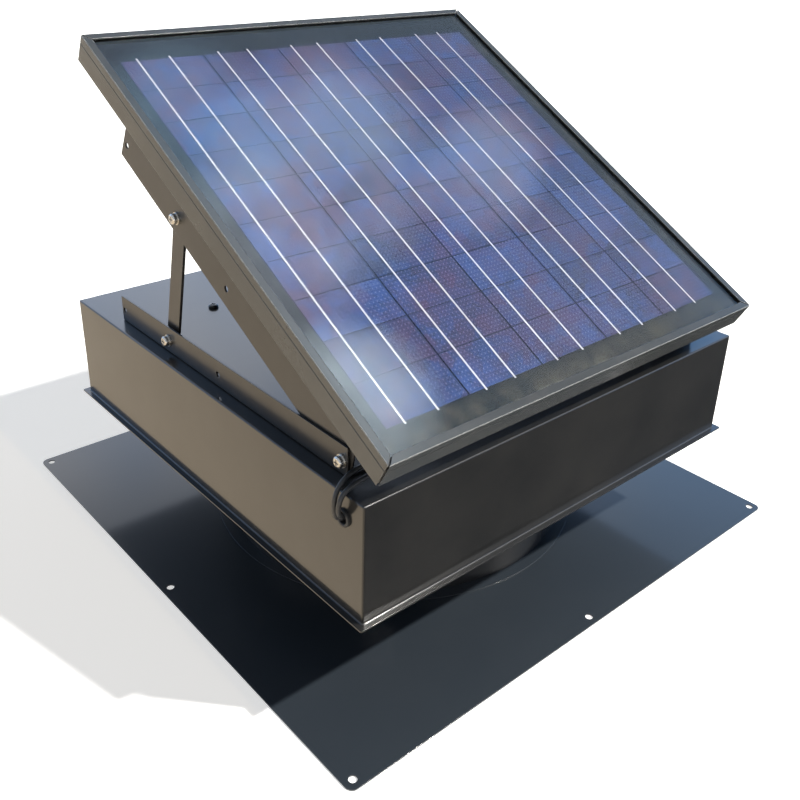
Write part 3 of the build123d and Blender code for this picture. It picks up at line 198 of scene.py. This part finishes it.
def add_sky():
    """A soft blue sky with soft boxes for gloss, and an even one for matt surfaces and the camera."""
    world = bpy.data.worlds.new("studio")
    bpy.context.scene.world = world
    world.use_nodes = True
    tree = world.node_tree
    where = node(tree, "TexCoord").outputs["Generated"]
    split = node(tree, "SeparateXYZ", Vector=where)
    ramp = node(tree, "ValToRGB", Fac=split.outputs["Z"])
    stops = ramp.color_ramp.elements
    stops[0].position = HORIZON_HEIGHT
    stops[0].color = (*HORIZON, 1)
    stops[1].position = 1.0
    stops[1].color = (*ZENITH, 1)
    middle = stops.new(MIDDLE_HEIGHT)
    middle.color = (*MIDDLE, 1)
    # the blue half of the sky lies to the right and behind, the other half is plain
    blue = between(tree, calculate(tree, "ADD", split.outputs["X"], split.outputs["Y"]), -0.3, 0.3)
    color = mix_color(tree, blue, PLAIN, ramp.outputs[0])
    sky = node(tree, "Background", Color=color, Strength=1.0).outputs[0]
    cloud = between(tree, noise(tree, where, 5.0, 4, 0.55), 0.35, 0.65, 0.45, 1.3)
    for direction, half_angle, brightness, color in SOFT_BOXES:
        glow = calculate(tree, "MULTIPLY", soft_box(tree, where, direction, half_angle), brightness)
        glow = calculate(tree, "MULTIPLY", glow, cloud)
        box = node(tree, "Background", Color=(*color, 1), Strength=glow)
        both = tree.nodes.new("ShaderNodeAddShader")
        tree.links.new(sky, both.inputs[0])
        tree.links.new(box.outputs[0], both.inputs[1])
        sky = both.outputs[0]
    rays = node(tree, "LightPath")
    for kind, color in (("Is Diffuse Ray", AMBIENT), ("Is Camera Ray", BACKGROUND)):
        even = node(tree, "Background", Color=(*color, 1), Strength=1.0)
        choice = tree.nodes.new("ShaderNodeMixShader")
        tree.links.new(rays.outputs[kind], choice.inputs[0])
        tree.links.new(sky, choice.inputs[1])
        tree.links.new(even.outputs[0], choice.inputs[2])
        sky = choice.outputs[0]
    tree.links.new(sky, tree.nodes["World Output"].inputs["Surface"])


KEY_DIRECTION = (-57, 60, -94)
KEY_STRENGTH = 6.0
KEY_SIZE = math.radians(2.0)


def add_lights():
    """A firm key from the front right, a soft sky, and cards for the reflections."""
    key = bpy.data.lights.new("key", "SUN")
    key.energy = KEY_STRENGTH
    key.angle = KEY_SIZE
    key.color = (1.0, 0.97, 0.92)
    lamp = bpy.data.objects.new("key", key)
    lamp.rotation_euler = Vector(KEY_DIRECTION).to_track_quat("-Z", "Y").to_euler()
    # the glass lets the key through as a shadow ray, so it isn't counted again through refraction
    lamp.visible_transmission = False
    bpy.context.scene.collection.objects.link(lamp)
    add_sky()
    add_cards()
    bpy.context.scene.view_settings.view_transform = "Standard"


FLOOR_REACH = 30
FLOOR_LEVEL = -0.3 * MM


def add_floor():
    """A plain pale floor under the flashing."""
    mesh = rectangle("floor", (-FLOOR_REACH, -FLOOR_REACH), (FLOOR_REACH, FLOOR_REACH), FLOOR_LEVEL)
    floor = bpy.data.objects.new("floor", mesh)
    bpy.context.scene.collection.objects.link(floor)
    mesh.materials.append(floor_material())


# ---------------------------------------------------------------- node helpers


def new_material(name, color, roughness, metallic=0.0):
    """A material with its Principled shader's plain values set."""
    material = bpy.data.materials.new(name)
    material.use_nodes = True
    shader = material.node_tree.nodes["Principled BSDF"]
    shader.inputs["Base Color"].default_value = (*color, 1)
    shader.inputs["Roughness"].default_value = roughness
    shader.inputs["Metallic"].default_value = metallic
    return material, material.node_tree, shader


def node(tree, kind, **inputs):
    """A node with some of its inputs set or linked."""
    made = tree.nodes.new("ShaderNode" + kind)
    for name, value in inputs.items():
        socket = made.inputs[name]
        if isinstance(value, bpy.types.NodeSocket):
            tree.links.new(value, socket)
        else:
            socket.default_value = value
    return made


def place_nodes(tree, scale=(1, 1, 1), turn=(0, 0, 0)):
    """The rest position of each point, in metres, turned and stretched."""
    coordinates = node(tree, "TexCoord")
    mapping = node(tree, "Mapping", Vector=coordinates.outputs["Object"])
    mapping.inputs["Scale"].default_value = scale
    mapping.inputs["Rotation"].default_value = turn
    return mapping.outputs[0]


def panel_nodes(tree, scale=(1, 1, 1)):
    """The rest position of each point along the panel's own directions, stretched."""
    flat = place_nodes(tree, turn=(-TILT, 0, 0))
    made = tree.nodes.new("ShaderNodeVectorMath")
    made.operation = "MULTIPLY"
    tree.links.new(flat, made.inputs[0])
    made.inputs[1].default_value = scale
    return made.outputs[0]


def noise(tree, where, scale, detail=2.0, roughness=0.5):
    """Soft noise between 0 and 1."""
    made = node(tree, "TexNoise", Vector=where, Scale=scale, Detail=detail, Roughness=roughness)
    return made.outputs["Fac"]


def between(tree, value, low, high, out_low=0.0, out_high=1.0):
    """A value moved from one range to another, and kept inside it."""
    made = node(tree, "MapRange", Value=value)
    made.inputs["From Min"].default_value = low
    made.inputs["From Max"].default_value = high
    made.inputs["To Min"].default_value = out_low
    made.inputs["To Max"].default_value = out_high
    return made.outputs[0]


def mix_color(tree, share, first, second):
    """Two colours mixed by a share, each a colour or a socket."""
    made = tree.nodes.new("ShaderNodeMix")
    made.data_type = "RGBA"
    for name, value in ((0, share), (6, first), (7, second)):
        if isinstance(value, bpy.types.NodeSocket):
            tree.links.new(value, made.inputs[name])
        elif name == 0:
            made.inputs[name].default_value = value
        else:
            made.inputs[name].default_value = (*value, 1)
    return made.outputs[2]


def calculate(tree, operation, first, second=0.0):
    """One sum, product or other operation on two values."""
    made = tree.nodes.new("ShaderNodeMath")
    made.operation = operation
    for index, value in enumerate((first, second)):
        if isinstance(value, bpy.types.NodeSocket):
            tree.links.new(value, made.inputs[index])
        else:
            made.inputs[index].default_value = value
    return made.outputs[0]


def eased_normal(tree, radius):
    """A normal that turns over a small radius at sharp edges."""
    made = node(tree, "Bevel", Radius=radius)
    made.samples = 4
    return made.outputs[0]


def bump(tree, shader, height, distance, strength, normal):
    """Bump on a shader from a height value, over another normal."""
    made = node(tree, "Bump", Height=height, Strength=strength, Distance=distance, Normal=normal)
    tree.links.new(made.outputs[0], shader.inputs["Normal"])


def edge_wear_and_glint(tree, radius, coverage, scale=300):
    """1 on broken stretches of sharp edges, 0 elsewhere: worn edges on the enamel, worn edges and
    painted highlight on the frame.
    """
    eased = eased_normal(tree, radius)
    geometry = node(tree, "NewGeometry")
    dot = tree.nodes.new("ShaderNodeVectorMath")
    dot.operation = "DOT_PRODUCT"
    tree.links.new(eased, dot.inputs[0])
    tree.links.new(geometry.outputs["Normal"], dot.inputs[1])
    edge = between(tree, dot.outputs["Value"], 0.985, 0.9)
    broken = between(tree, noise(tree, place_nodes(tree), scale, 3), 1 - coverage, 1 - coverage + 0.08)
    return calculate(tree, "MULTIPLY", edge, broken)


# ---------------------------------------------------------------- materials


def floor_material():
    """A matt, nearly white floor."""
    material, tree, shader = new_material("floor_pale", (0.86, 0.855, 0.845), 0.85)
    cloud = noise(tree, place_nodes(tree), 2.0, 3)
    tint = mix_color(tree, cloud, (0.84, 0.835, 0.825), (0.88, 0.875, 0.865))
    tree.links.new(tint, shader.inputs["Base Color"])
    shader.inputs["Emission Color"].default_value = (1.0, 0.99, 0.97, 1)
    shader.inputs["Emission Strength"].default_value = 0.60
    return material


PALE_DUST = (0.30, 0.27, 0.23)


def powder_coat(name, color, roughness, dust=0.5, dust_color=PALE_DUST, wear=0.0, coat=1.0):
    """Glossy enamel on sheet steel: fine orange peel, handling smudges, dust and a few bare edges."""
    material, tree, shader = new_material(name, color, 0.5)
    where = place_nodes(tree)
    smudge = noise(tree, where, 14, 4, 0.6)
    speck = between(tree, noise(tree, where, 900, 1), 0.74, 0.82)
    film = between(tree, smudge, 0.35, 0.75, 0.0, 0.10 * dust)
    dusty = calculate(tree, "ADD", film, calculate(tree, "MULTIPLY", speck, 0.25 * dust))
    base = mix_color(tree, dusty, color, dust_color)
    if wear:
        pale_edge = edge_wear_and_glint(tree, 0.3 * MM, wear)
        base = mix_color(tree, pale_edge, base, (0.42, 0.40, 0.37))
        tree.links.new(calculate(tree, "SUBTRACT", coat, pale_edge), shader.inputs["Coat Weight"])
    else:
        shader.inputs["Coat Weight"].default_value = coat
    tree.links.new(base, shader.inputs["Base Color"])
    shader.inputs["Specular IOR Level"].default_value = 0.2
    shader.inputs["Coat Roughness"].default_value = roughness
    peel = noise(tree, where, 420, 2, 0.4)
    eased = eased_normal(tree, 0.5 * MM)
    made = node(tree, "Bump", Height=peel, Strength=0.25, Distance=0.02 * MM, Normal=eased)
    tree.links.new(made.outputs[0], shader.inputs["Normal"])
    tree.links.new(made.outputs[0], shader.inputs["Coat Normal"])
    return material


def bare_metal(name, color, roughness, grain=(1, 1, 1), grain_scale=900, mottle=0.12):
    """Plain metal with a grain, slight mottling and rounded-over edges."""
    material, tree, shader = new_material(name, color, roughness, 1.0)
    fine = noise(tree, place_nodes(tree, grain), grain_scale, 2)
    cloud = noise(tree, place_nodes(tree), 60, 3)
    darker = tuple(value * (1 - mottle * 2) for value in color)
    tree.links.new(mix_color(tree, cloud, darker, color), shader.inputs["Base Color"])
    rough = between(tree, fine, 0.3, 0.7, roughness * 0.75, roughness * 1.3)
    tree.links.new(rough, shader.inputs["Roughness"])
    bump(tree, shader, fine, 0.01 * MM, 0.4, eased_normal(tree, 0.25 * MM))
    return material


def moulded(name, color, roughness, texture=900, depth=0.03):
    """Moulded plastic or rubber with a fine texture."""
    material, tree, shader = new_material(name, color, roughness)
    fine = noise(tree, place_nodes(tree), texture, 3)
    cloud = noise(tree, place_nodes(tree), 50, 2)
    lighter = tuple(value * 1.5 + 0.005 for value in color)
    tree.links.new(mix_color(tree, cloud, color, lighter), shader.inputs["Base Color"])
    rough = between(tree, fine, 0.3, 0.7, roughness * 0.85, roughness * 1.15)
    tree.links.new(rough, shader.inputs["Roughness"])
    bump(tree, shader, fine, depth * MM, 0.5, eased_normal(tree, 0.3 * MM))
    return material


def galvanised(name):
    """Zinc spangle on thin steel."""
    material, tree, shader = new_material(name, (0.56, 0.57, 0.58), 0.42, 1.0)
    flakes = node(tree, "TexVoronoi", Vector=place_nodes(tree), Scale=130.0)
    flake = between(tree, node(tree, "SeparateColor", Color=flakes.outputs["Color"]).outputs[0], 0, 1)
    base = mix_color(tree, flake, (0.45, 0.46, 0.48), (0.66, 0.67, 0.68))
    tree.links.new(base, shader.inputs["Base Color"])
    tree.links.new(between(tree, flake, 0, 1, 0.34, 0.52), shader.inputs["Roughness"])
    bump(tree, shader, flake, 0.01 * MM, 0.3, eased_normal(tree, 0.4 * MM))
    return material


RIM_START = 0.8 * MM         # the rim is the outermost strip of the frame's upper face; its pale edge is partly worn bare and partly a painted highlight
RIM_FULL = 0.6 * MM
LIP_START = 13 * MM          # the lip over the glass
LIP_FULL = 12 * MM
UPPER_START = 1.2 * MM       # the pale edge of wear and painted highlight starts this far under the upper face
UPPER_FULL = 0.6 * MM


def anodised(name, along):
    """Black anodised extrusion: die lines along its length, smears, and a pale upper edge, partly
    rubbed bare on the rim and painted highlight along the lip.
    """
    material, tree, shader = new_material(name, (0.03, 0.03, 0.031), 0.30)
    stretch = (8, 600, 600) if along == "x" else (600, 8, 600)
    lines = noise(tree, panel_nodes(tree, stretch), 1.0, 1)
    smear = between(tree, noise(tree, place_nodes(tree), 30, 4, 0.6), 0.45, 0.8, 0, 0.5)
    base = mix_color(tree, smear, (0.038, 0.040, 0.039), (0.070, 0.068, 0.060))
    flat = node(tree, "SeparateXYZ", Vector=panel_nodes(tree))
    half_width = PANEL_WIDTH / 2
    half_length = PANEL_LENGTH / 2
    upper = between(tree, flat.outputs["Z"], PANEL_TOP - UPPER_START, PANEL_TOP - UPPER_FULL)
    across = calculate(tree, "ABSOLUTE", flat.outputs["X"])
    from_middle = calculate(tree, "SUBTRACT", flat.outputs["Y"], PANEL_LOW + half_length)
    along_slope = calculate(tree, "ABSOLUTE", from_middle)
    rim = calculate(tree, "MAXIMUM",
                    between(tree, across, half_width - RIM_START, half_width - RIM_FULL),
                    between(tree, along_slope, half_length - RIM_START, half_length - RIM_FULL))
    # the lip gets a painted highlight where the key glints, on the right and rear members only
    lip_glint = calculate(tree, "MAXIMUM",
                    between(tree, flat.outputs["X"], half_width - LIP_START, half_width - LIP_FULL),
                    between(tree, from_middle, half_length - LIP_START, half_length - LIP_FULL))
    upper = calculate(tree, "MULTIPLY", upper, calculate(tree, "MAXIMUM", rim, lip_glint))
    # pale edge colour: partly real wear and partly painted highlight on the rim, painted highlight on
    # the lip
    pale_edge = calculate(tree, "MULTIPLY", edge_wear_and_glint(tree, 0.5 * MM, 0.75, 140), upper)
    base = mix_color(tree, pale_edge, base, (0.62, 0.62, 0.60))
    tree.links.new(base, shader.inputs["Base Color"])
    tree.links.new(between(tree, lines, 0.3, 0.7, 0.18, 0.24), shader.inputs["Roughness"])
    shader.inputs["Specular IOR Level"].default_value = 0.7
    tree.links.new(eased_normal(tree, 0.5 * MM), shader.inputs["Normal"])
    return material


def clear_glass(name):
    """Low-iron glass that lets lamps through to the cells."""
    material, tree, shader = new_material(name, (0.97, 0.99, 0.985), 0.02)
    shader.inputs["Transmission Weight"].default_value = 1.0
    shader.inputs["IOR"].default_value = 1.40
    smear = noise(tree, place_nodes(tree), 9, 4, 0.65)
    tree.links.new(between(tree, smear, 0.55, 0.85, 0.0, 0.03), shader.inputs["Roughness"])
    rays = node(tree, "LightPath")
    through = node(tree, "BsdfTransparent")
    choice = node(tree, "MixShader")
    tree.links.new(rays.outputs["Is Shadow Ray"], choice.inputs[0])
    tree.links.new(shader.outputs[0], choice.inputs[1])
    tree.links.new(through.outputs[0], choice.inputs[2])
    tree.links.new(choice.outputs[0], tree.nodes["Material Output"].inputs["Surface"])
    return material


FINGER_PITCH = 1.95 * MM
DOT_PITCH = 3.9 * MM
# the cells' outline on the backing, from the panel's left and lower edges
CELLS_LEFT = (19 * MM, 20 * MM)
CELLS_RIGHT = (421 * MM, 420 * MM)
CELLS_LOW = (27 * MM, 28 * MM)
CELLS_HIGH = (434 * MM, 433 * MM)
# where the dried dirt starts and where it is full, from the same edges
DIRT_LOW = (34 * MM, 14 * MM)
DIRT_RIGHT = (418 * MM, 434 * MM)
DIRT_RIGHT_MOST = 0.6


def stripes(tree, where, direction, pitch, low, high):
    """1 on thin parallel lines, 0 between them."""
    wave = node(tree, "TexWave", Vector=where, Scale=math.pi / 10 / pitch)
    wave.wave_type = "BANDS"
    wave.bands_direction = direction
    return between(tree, wave.outputs["Fac"], low, high)


def silicon(name):
    """Polycrystalline cells: blue and violet grains, fine silver fingers across each cell."""
    material, tree, shader = new_material(name, (0.03, 0.05, 0.22), 0.34)
    flat = panel_nodes(tree)
    island = node(tree, "NewGeometry").outputs["Random Per Island"]
    grains = node(tree, "TexVoronoi", Vector=flat, Scale=260.0)
    grain = node(tree, "SeparateColor", Color=grains.outputs["Color"])
    coarse = node(tree, "TexVoronoi", Vector=flat, Scale=90.0)
    patch = node(tree, "SeparateColor", Color=coarse.outputs["Color"])
    large = noise(tree, flat, 14, 3)
    tone = calculate(tree, "ADD", calculate(tree, "MULTIPLY", grain.outputs[0], 0.50),
                     calculate(tree, "MULTIPLY", island, 0.55))
    tone = calculate(tree, "ADD", tone, calculate(tree, "MULTIPLY", patch.outputs[0], 0.15))
    base = mix_color(tree, tone, (0.0009, 0.0011, 0.0072), (0.0078, 0.0205, 0.0760))
    violet = calculate(tree, "ADD", large, calculate(tree, "MULTIPLY", patch.outputs[1], 0.22))
    base = mix_color(tree, between(tree, violet, 0.50, 0.85), base, (0.0190, 0.0090, 0.0250))
    finger = stripes(tree, flat, "Y", FINGER_PITCH, 0.80, 0.97)
    base = mix_color(tree, calculate(tree, "MULTIPLY", finger, 0.08), base, (0.16, 0.18, 0.27))
    dots = calculate(tree, "MULTIPLY", stripes(tree, flat, "X", DOT_PITCH, 0.90, 0.99),
                     stripes(tree, flat, "Y", FINGER_PITCH * 2, 0.75, 0.95))
    base = mix_color(tree, calculate(tree, "MULTIPLY", dots, 0.38), base, (0.30, 0.32, 0.42))
    tree.links.new(base, shader.inputs["Base Color"])
    tree.links.new(between(tree, grain.outputs[2], 0, 1, 0.28, 0.44), shader.inputs["Roughness"])
    shader.inputs["Specular IOR Level"].default_value = 0.05
    return material


def backing(name):
    """The dark film behind and between the cells, with dried dirt along two of its edges."""
    material, tree, shader = new_material(name, (0.012, 0.018, 0.028), 0.45)
    flat = panel_nodes(tree)
    cloud = noise(tree, flat, 26, 4, 0.6)
    margin = mix_color(tree, cloud, (0.0060, 0.0070, 0.0075), (0.0100, 0.0110, 0.0110))
    split = node(tree, "SeparateXYZ", Vector=flat)
    across = split.outputs["X"]
    along = split.outputs["Y"]
    inside = between(tree, across, PANEL_LEFT + CELLS_LEFT[0], PANEL_LEFT + CELLS_LEFT[1])
    for value, edge, (start, stop) in ((across, PANEL_LEFT, CELLS_RIGHT), (along, PANEL_LOW, CELLS_LOW),
                                       (along, PANEL_LOW, CELLS_HIGH)):
        inside = calculate(tree, "MULTIPLY", inside, between(tree, value, edge + start, edge + stop))
    base = mix_color(tree, inside, margin, (0.0010, 0.0015, 0.0025))
    near = calculate(tree, "MAXIMUM",
                     between(tree, along, PANEL_LOW + DIRT_LOW[0], PANEL_LOW + DIRT_LOW[1]),
                     between(tree, across, PANEL_LEFT + DIRT_RIGHT[0], PANEL_LEFT + DIRT_RIGHT[1],
                             0, DIRT_RIGHT_MOST))
    broken = between(tree, noise(tree, flat, 60, 5, 0.7), 0.40, 0.70)
    base = mix_color(tree, calculate(tree, "MULTIPLY", near, broken), base, (0.034, 0.032, 0.026))
    tree.links.new(base, shader.inputs["Base Color"])
    shader.inputs["Specular IOR Level"].default_value = 0.0
    return material


def tinned(name):
    """Solder-dipped ribbon, bright and slightly uneven."""
    material, tree, shader = new_material(name, (0.22, 0.225, 0.24), 0.45, 0.15)
    uneven = noise(tree, place_nodes(tree), 240, 2)
    base = mix_color(tree, uneven, (0.19, 0.195, 0.21), (0.25, 0.255, 0.265))
    tree.links.new(base, shader.inputs["Base Color"])
    return material


MATERIALS = {
    "flashing": powder_coat("flashing_enamel", (0.020, 0.026, 0.033), 0.13, 0.15, (0.16, 0.16, 0.17)),
    "hood": powder_coat("hood_enamel", (0.007, 0.007, 0.007), 0.14, 0.30, wear=0.22),
    "collar": powder_coat("collar_enamel", (0.008, 0.008, 0.009), 0.16, 0.2),
    "screen": powder_coat("screen_enamel", (0.012, 0.012, 0.013), 0.30, 0.4),
    "bracket": powder_coat("bracket_enamel", (0.012, 0.011, 0.010), 0.22, 0.4, wear=0.40, coat=0.78),
    "black_screw": powder_coat("black_screw", (0.012, 0.012, 0.012), 0.3, 0.3, wear=0.4),
    "motor": powder_coat("motor_enamel", (0.02, 0.02, 0.022), 0.3, 0.4),
    "steel": bare_metal("fastener_steel", (0.72, 0.70, 0.66), 0.26, mottle=0.18),
    "shaft": bare_metal("ground_steel", (0.70, 0.70, 0.71), 0.18, (1, 1, 30)),
    "rivet": bare_metal("rivet_aluminium", (0.78, 0.78, 0.78), 0.38),
    "blade": bare_metal("blade_aluminium", (0.80, 0.81, 0.82), 0.36, grain_scale=500),
    "key": bare_metal("mill_aluminium", (0.74, 0.74, 0.75), 0.4),
    "hub": bare_metal("plated_steel", (0.62, 0.60, 0.52), 0.34),
    "iron": bare_metal("core_iron", (0.23, 0.21, 0.20), 0.5, (1, 1, 60)),
    "ribbon": tinned("tinned_ribbon"),
    "zinc": galvanised("galvanised_sheet"),
    "nylon": moulded("black_nylon", (0.016, 0.016, 0.017), 0.42),
    "rubber": moulded("black_rubber", (0.018, 0.018, 0.018), 0.6),
    "jacket": moulded("lead_jacket", (0.020, 0.020, 0.021), 0.38, 1400, 0.02),
    "box": moulded("box_plastic", (0.020, 0.020, 0.021), 0.5, 700, 0.06),
    "phenolic": moulded("switch_phenolic", (0.06, 0.035, 0.02), 0.3),
    "frame_x": anodised("anodised_across", "x"),
    "frame_s": anodised("anodised_along", "s"),
    "glass": clear_glass("panel_glass"),
    "cells": silicon("polycrystalline_cells"),
    "backing": backing("panel_backing"),
}

DRESS = {
    "flashing_plate": "flashing",
    "throat_collar": "collar",
    "collar_foot": "flashing",
    "collar_rivets": "rivet",
    "hood_shell": "hood",
    "hood_posts": "zinc",
    "hood_screws": "black_screw",
    "hood_nuts": "steel",
    "cable_grommet": "rubber",
    "base_rail_left": "bracket",
    "base_rail_right": "bracket",
    "rail_bolts": "steel",
    "pivot_screws": "steel",
    "pivot_nuts": "steel",
    "pivot_washers": "steel",
    "pivot_spacers": "nylon",
    "motor_bridge": "zinc",
    "motor_housing": "motor",
    "motor_end_cap": "motor",
    "motor_bearings": "shaft",
    "motor_stator": "iron",
    "motor_screws": "steel",
    "thermal_switch": "phenolic",
    "motor_lead": "jacket",
    "frame_front": "frame_x",
    "frame_rear": "frame_x",
    "frame_left": "frame_s",
    "frame_right": "frame_s",
    "frame_corner_keys": "key",
    "glass": "glass",
    "backsheet": "backing",
    "glass_seal": "rubber",
    "solar_cells": "cells",
    "cell_ribbons": "ribbon",
    "junction_box": "box",
    "junction_box_lid": "box",
    "box_lid_screws": "steel",
    "cable_glands": "nylon",
    "side_bracket_left": "bracket",
    "side_bracket_right": "bracket",
    "bracket_bolts": "steel",
    "prop_top_screws": "steel",
    "prop_top_washers": "steel",
    "prop_arm_left": "bracket",
    "prop_arm_right": "bracket",
    "prop_nut_left": "steel",
    "prop_nut_right": "steel",
    "motor_rotor": "iron",
    "motor_shaft": "shaft",
    "fan_hub": "hub",
    "blade_rivets": "rivet",
    "shaft_clip": "shaft",
}
DRESS.update({f"fan_blade_{index}": "blade" for index in range(1, 6)})


def dress(thing, material_name):
    """Give an object one material."""
    thing.data.materials.clear()
    thing.data.materials.append(MATERIALS[material_name])


for node_name, material_name in DRESS.items():
    dress(NODES[node_name], material_name)

# ---------------------------------------------------------------- mesh helpers


def piece(name, mesh, material_name, body):
    """Link a finished mesh as a piece that rides on a body."""
    made = bpy.data.objects.new(name, mesh)
    bpy.context.scene.collection.objects.link(made)
    dress(made, material_name)
    if body:
        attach(made, body)
    return made


def smooth(mesh, angle):
    """Shade the mesh smooth, with its sharp edges kept."""
    mesh.shade_smooth()
    mesh.set_sharp_from_angle(angle=math.radians(angle))


def join_rings(shape, rings):
    """Faces between each ring of corners and the next."""
    sides = len(rings[0])
    for first, second in zip(rings, rings[1:]):
        for k in range(sides):
            shape.faces.new((first[k], first[(k + 1) % sides], second[(k + 1) % sides], second[k]))


def tube_mesh(name, points, radius, sides=16):
    """A closed round tube round a line of points."""
    shape = bmesh.new()
    count = len(points)
    side_step = 2 * math.pi / sides
    previous = None
    rings = []
    for index, point in enumerate(points):
        ahead = (points[min(index + 1, count - 1)] - points[max(index - 1, 0)]).normalized()
        if previous is None:
            across = ahead.orthogonal().normalized()
        else:
            across = (previous - ahead * previous.dot(ahead)).normalized()
        previous = across
        over = ahead.cross(across)
        rings.append([
            shape.verts.new(point + across * (radius * math.cos(k * side_step))
                            + over * (radius * math.sin(k * side_step)))
            for k in range(sides)
        ])
    join_rings(shape, rings)
    shape.faces.new(list(reversed(rings[0])))
    shape.faces.new(rings[-1])
    mesh = bpy.data.meshes.new(name)
    shape.to_mesh(mesh)
    shape.free()
    smooth(mesh, 60)
    return mesh


def smooth_line(name, route):
    """Points along the smooth curve that a cord's route makes."""
    curve = bpy.data.curves.new(name + "_line", "CURVE")
    curve.dimensions = "3D"
    spline = curve.splines.new("NURBS")
    spline.points.add(len(route) - 1)
    for point, place in zip(spline.points, route):
        point.co = (*place, 1)
    spline.order_u = 3
    spline.use_endpoint_u = True
    spline.resolution_u = 8
    holder = bpy.data.objects.new(name + "_line", curve)
    bpy.context.scene.collection.objects.link(holder)
    bpy.context.view_layer.update()
    mesh = bpy.data.meshes.new_from_object(holder.evaluated_get(bpy.context.evaluated_depsgraph_get()))
    points = [vertex.co.copy() for vertex in mesh.vertices]
    bpy.data.objects.remove(holder)
    return points


# ---------------------------------------------------------------- the two panel leads

LEAD_RADIUS = 1.9 * MM

# each lead's route from its gland to the grommet, in millimetres
FRONT_ROUTE = [
    (-170.5, -194.3, 246.1),
    (-171.0, -206.8, 239.0),
    (-182.0, -209.0, 222.0),
    (-198.0, -203.5, 211.5),
    (-213.0, -200.5, 209.0),
    (-227.0, -203.5, 207.5),
    (-236.0, -205.6, 199.0),
    (-237.3, -206.0, 189.0),
    (-236.0, -205.8, 181.2),
    (-231.6, -205.6, 177.2),
    (-226.0, -205.6, 176.6),
]
REAR_ROUTE = [
    (-154.5, -194.3, 246.1),
    (-155.0, -207.0, 238.5),
    (-167.0, -210.5, 222.0),
    (-186.0, -209.5, 209.0),
    (-204.0, -208.5, 205.6),
    (-221.0, -210.5, 206.0),
    (-234.0, -212.0, 203.0),
    (-238.0, -212.0, 194.0),
    (-236.6, -210.2, 185.2),
    (-231.9, -208.6, 180.2),
    (-226.0, -208.4, 179.4),
]


def add_lead(name, route_mm):
    """One lead from its gland, over the hood's edge and into the grommet."""
    route = [tuple(value * MM for value in point) for point in route_mm]
    points = smooth_line(name, route)
    lead = piece(name + "_jacket", tube_mesh(name, points, LEAD_RADIUS), "jacket", None)
    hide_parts(name)
    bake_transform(lead)


add_camera()
add_lights()
add_floor()
add_lead("panel_lead_front", FRONT_ROUTE)
add_lead("panel_lead_rear", REAR_ROUTE)

# ---------------------------------------------------------------- bird screen

WIRE_PITCH = 12.7 * MM
WIRE_RADIUS = 0.5 * MM
WIRE_SIDES = 6
WIRE_INSET = 1 * MM
SCREEN_LIFT = 0.9 * MM       # the screen's middle above its CAD solid's underside
STRIP_HALF = 0.8 * MM        # half the thickness of the rim and hoop strips
RIM_WIDTH = 6 * MM
HOOP_RADIUS = 182 * MM
HOOP_THICKNESS = 1 * MM
HOOP_HEIGHT = 9 * MM
HOOP_STEPS = 96


def wire_bars(shape, level, along_x):
    """Parallel wires across the hood's mouth, cut where the throat's hoop is."""
    reach = SCREEN_HIGH.x - WIRE_INSET
    count = int(reach / WIRE_PITCH)
    for step in range(-count, count + 1):
        offset = step * WIRE_PITCH
        spans = [(-reach, reach)]
        if abs(offset) < HOOP_RADIUS:
            edge = math.sqrt(HOOP_RADIUS ** 2 - offset ** 2)
            spans = [(-reach, -edge), (edge, reach)]
        for start, stop in spans:
            add_bar(shape, start, stop, offset, level, along_x)


def add_bar(shape, start, stop, offset, level, along_x):
    """One six-sided wire."""
    rings = []
    for end in (start, stop):
        ring = []
        for k in range(WIRE_SIDES):
            angle = k * 2 * math.pi / WIRE_SIDES
            across = offset + WIRE_RADIUS * math.cos(angle)
            height = level + WIRE_RADIUS * math.sin(angle)
            place = (end, across, height) if along_x else (across, end, height)
            ring.append(shape.verts.new(place))
        rings.append(ring)
    join_rings(shape, rings)
    shape.faces.new(rings[0])
    shape.faces.new(rings[1])


def add_rim(shape, level):
    """The folded rim strip by the hood's walls."""
    outer = SCREEN_HIGH.x
    inner = outer - RIM_WIDTH
    low = level - STRIP_HALF
    high = level + STRIP_HALF
    loops = []
    for reach, height in ((outer, low), (inner, low), (inner, high), (outer, high)):
        loops.append([
            shape.verts.new((side_x * reach, side_y * reach, height))
            for side_x, side_y in ((-1, -1), (1, -1), (1, 1), (-1, 1))
        ])
    join_rings(shape, loops + loops[:1])


def add_hoop(shape, level):
    """The hoop strip that stands round the throat."""
    inner = HOOP_RADIUS
    outer = HOOP_RADIUS + HOOP_THICKNESS
    low = level - STRIP_HALF
    high = level + HOOP_HEIGHT
    loops = []
    for radius, height in ((inner, low), (outer, low), (outer, high), (inner, high)):
        loops.append([
            shape.verts.new((
                radius * math.cos(k * 2 * math.pi / HOOP_STEPS),
                radius * math.sin(k * 2 * math.pi / HOOP_STEPS),
                height,
            ))
            for k in range(HOOP_STEPS)
        ])
    join_rings(shape, loops + loops[:1])


def add_bird_screen():
    """Welded wire mesh in a rim and a hoop."""
    level = SCREEN_LOW.z + SCREEN_LIFT
    shape = bmesh.new()
    wire_bars(shape, level - WIRE_RADIUS * 0.8, True)
    wire_bars(shape, level + WIRE_RADIUS * 0.8, False)
    add_rim(shape, level)
    add_hoop(shape, level)
    bmesh.ops.recalc_face_normals(shape, faces=shape.faces)
    mesh = bpy.data.meshes.new("screen_mesh")
    shape.to_mesh(mesh)
    shape.free()
    smooth(mesh, 50)
    screen = piece("screen_wire", mesh, "screen", "roof_unit")
    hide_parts("bird_screen")


add_bird_screen()
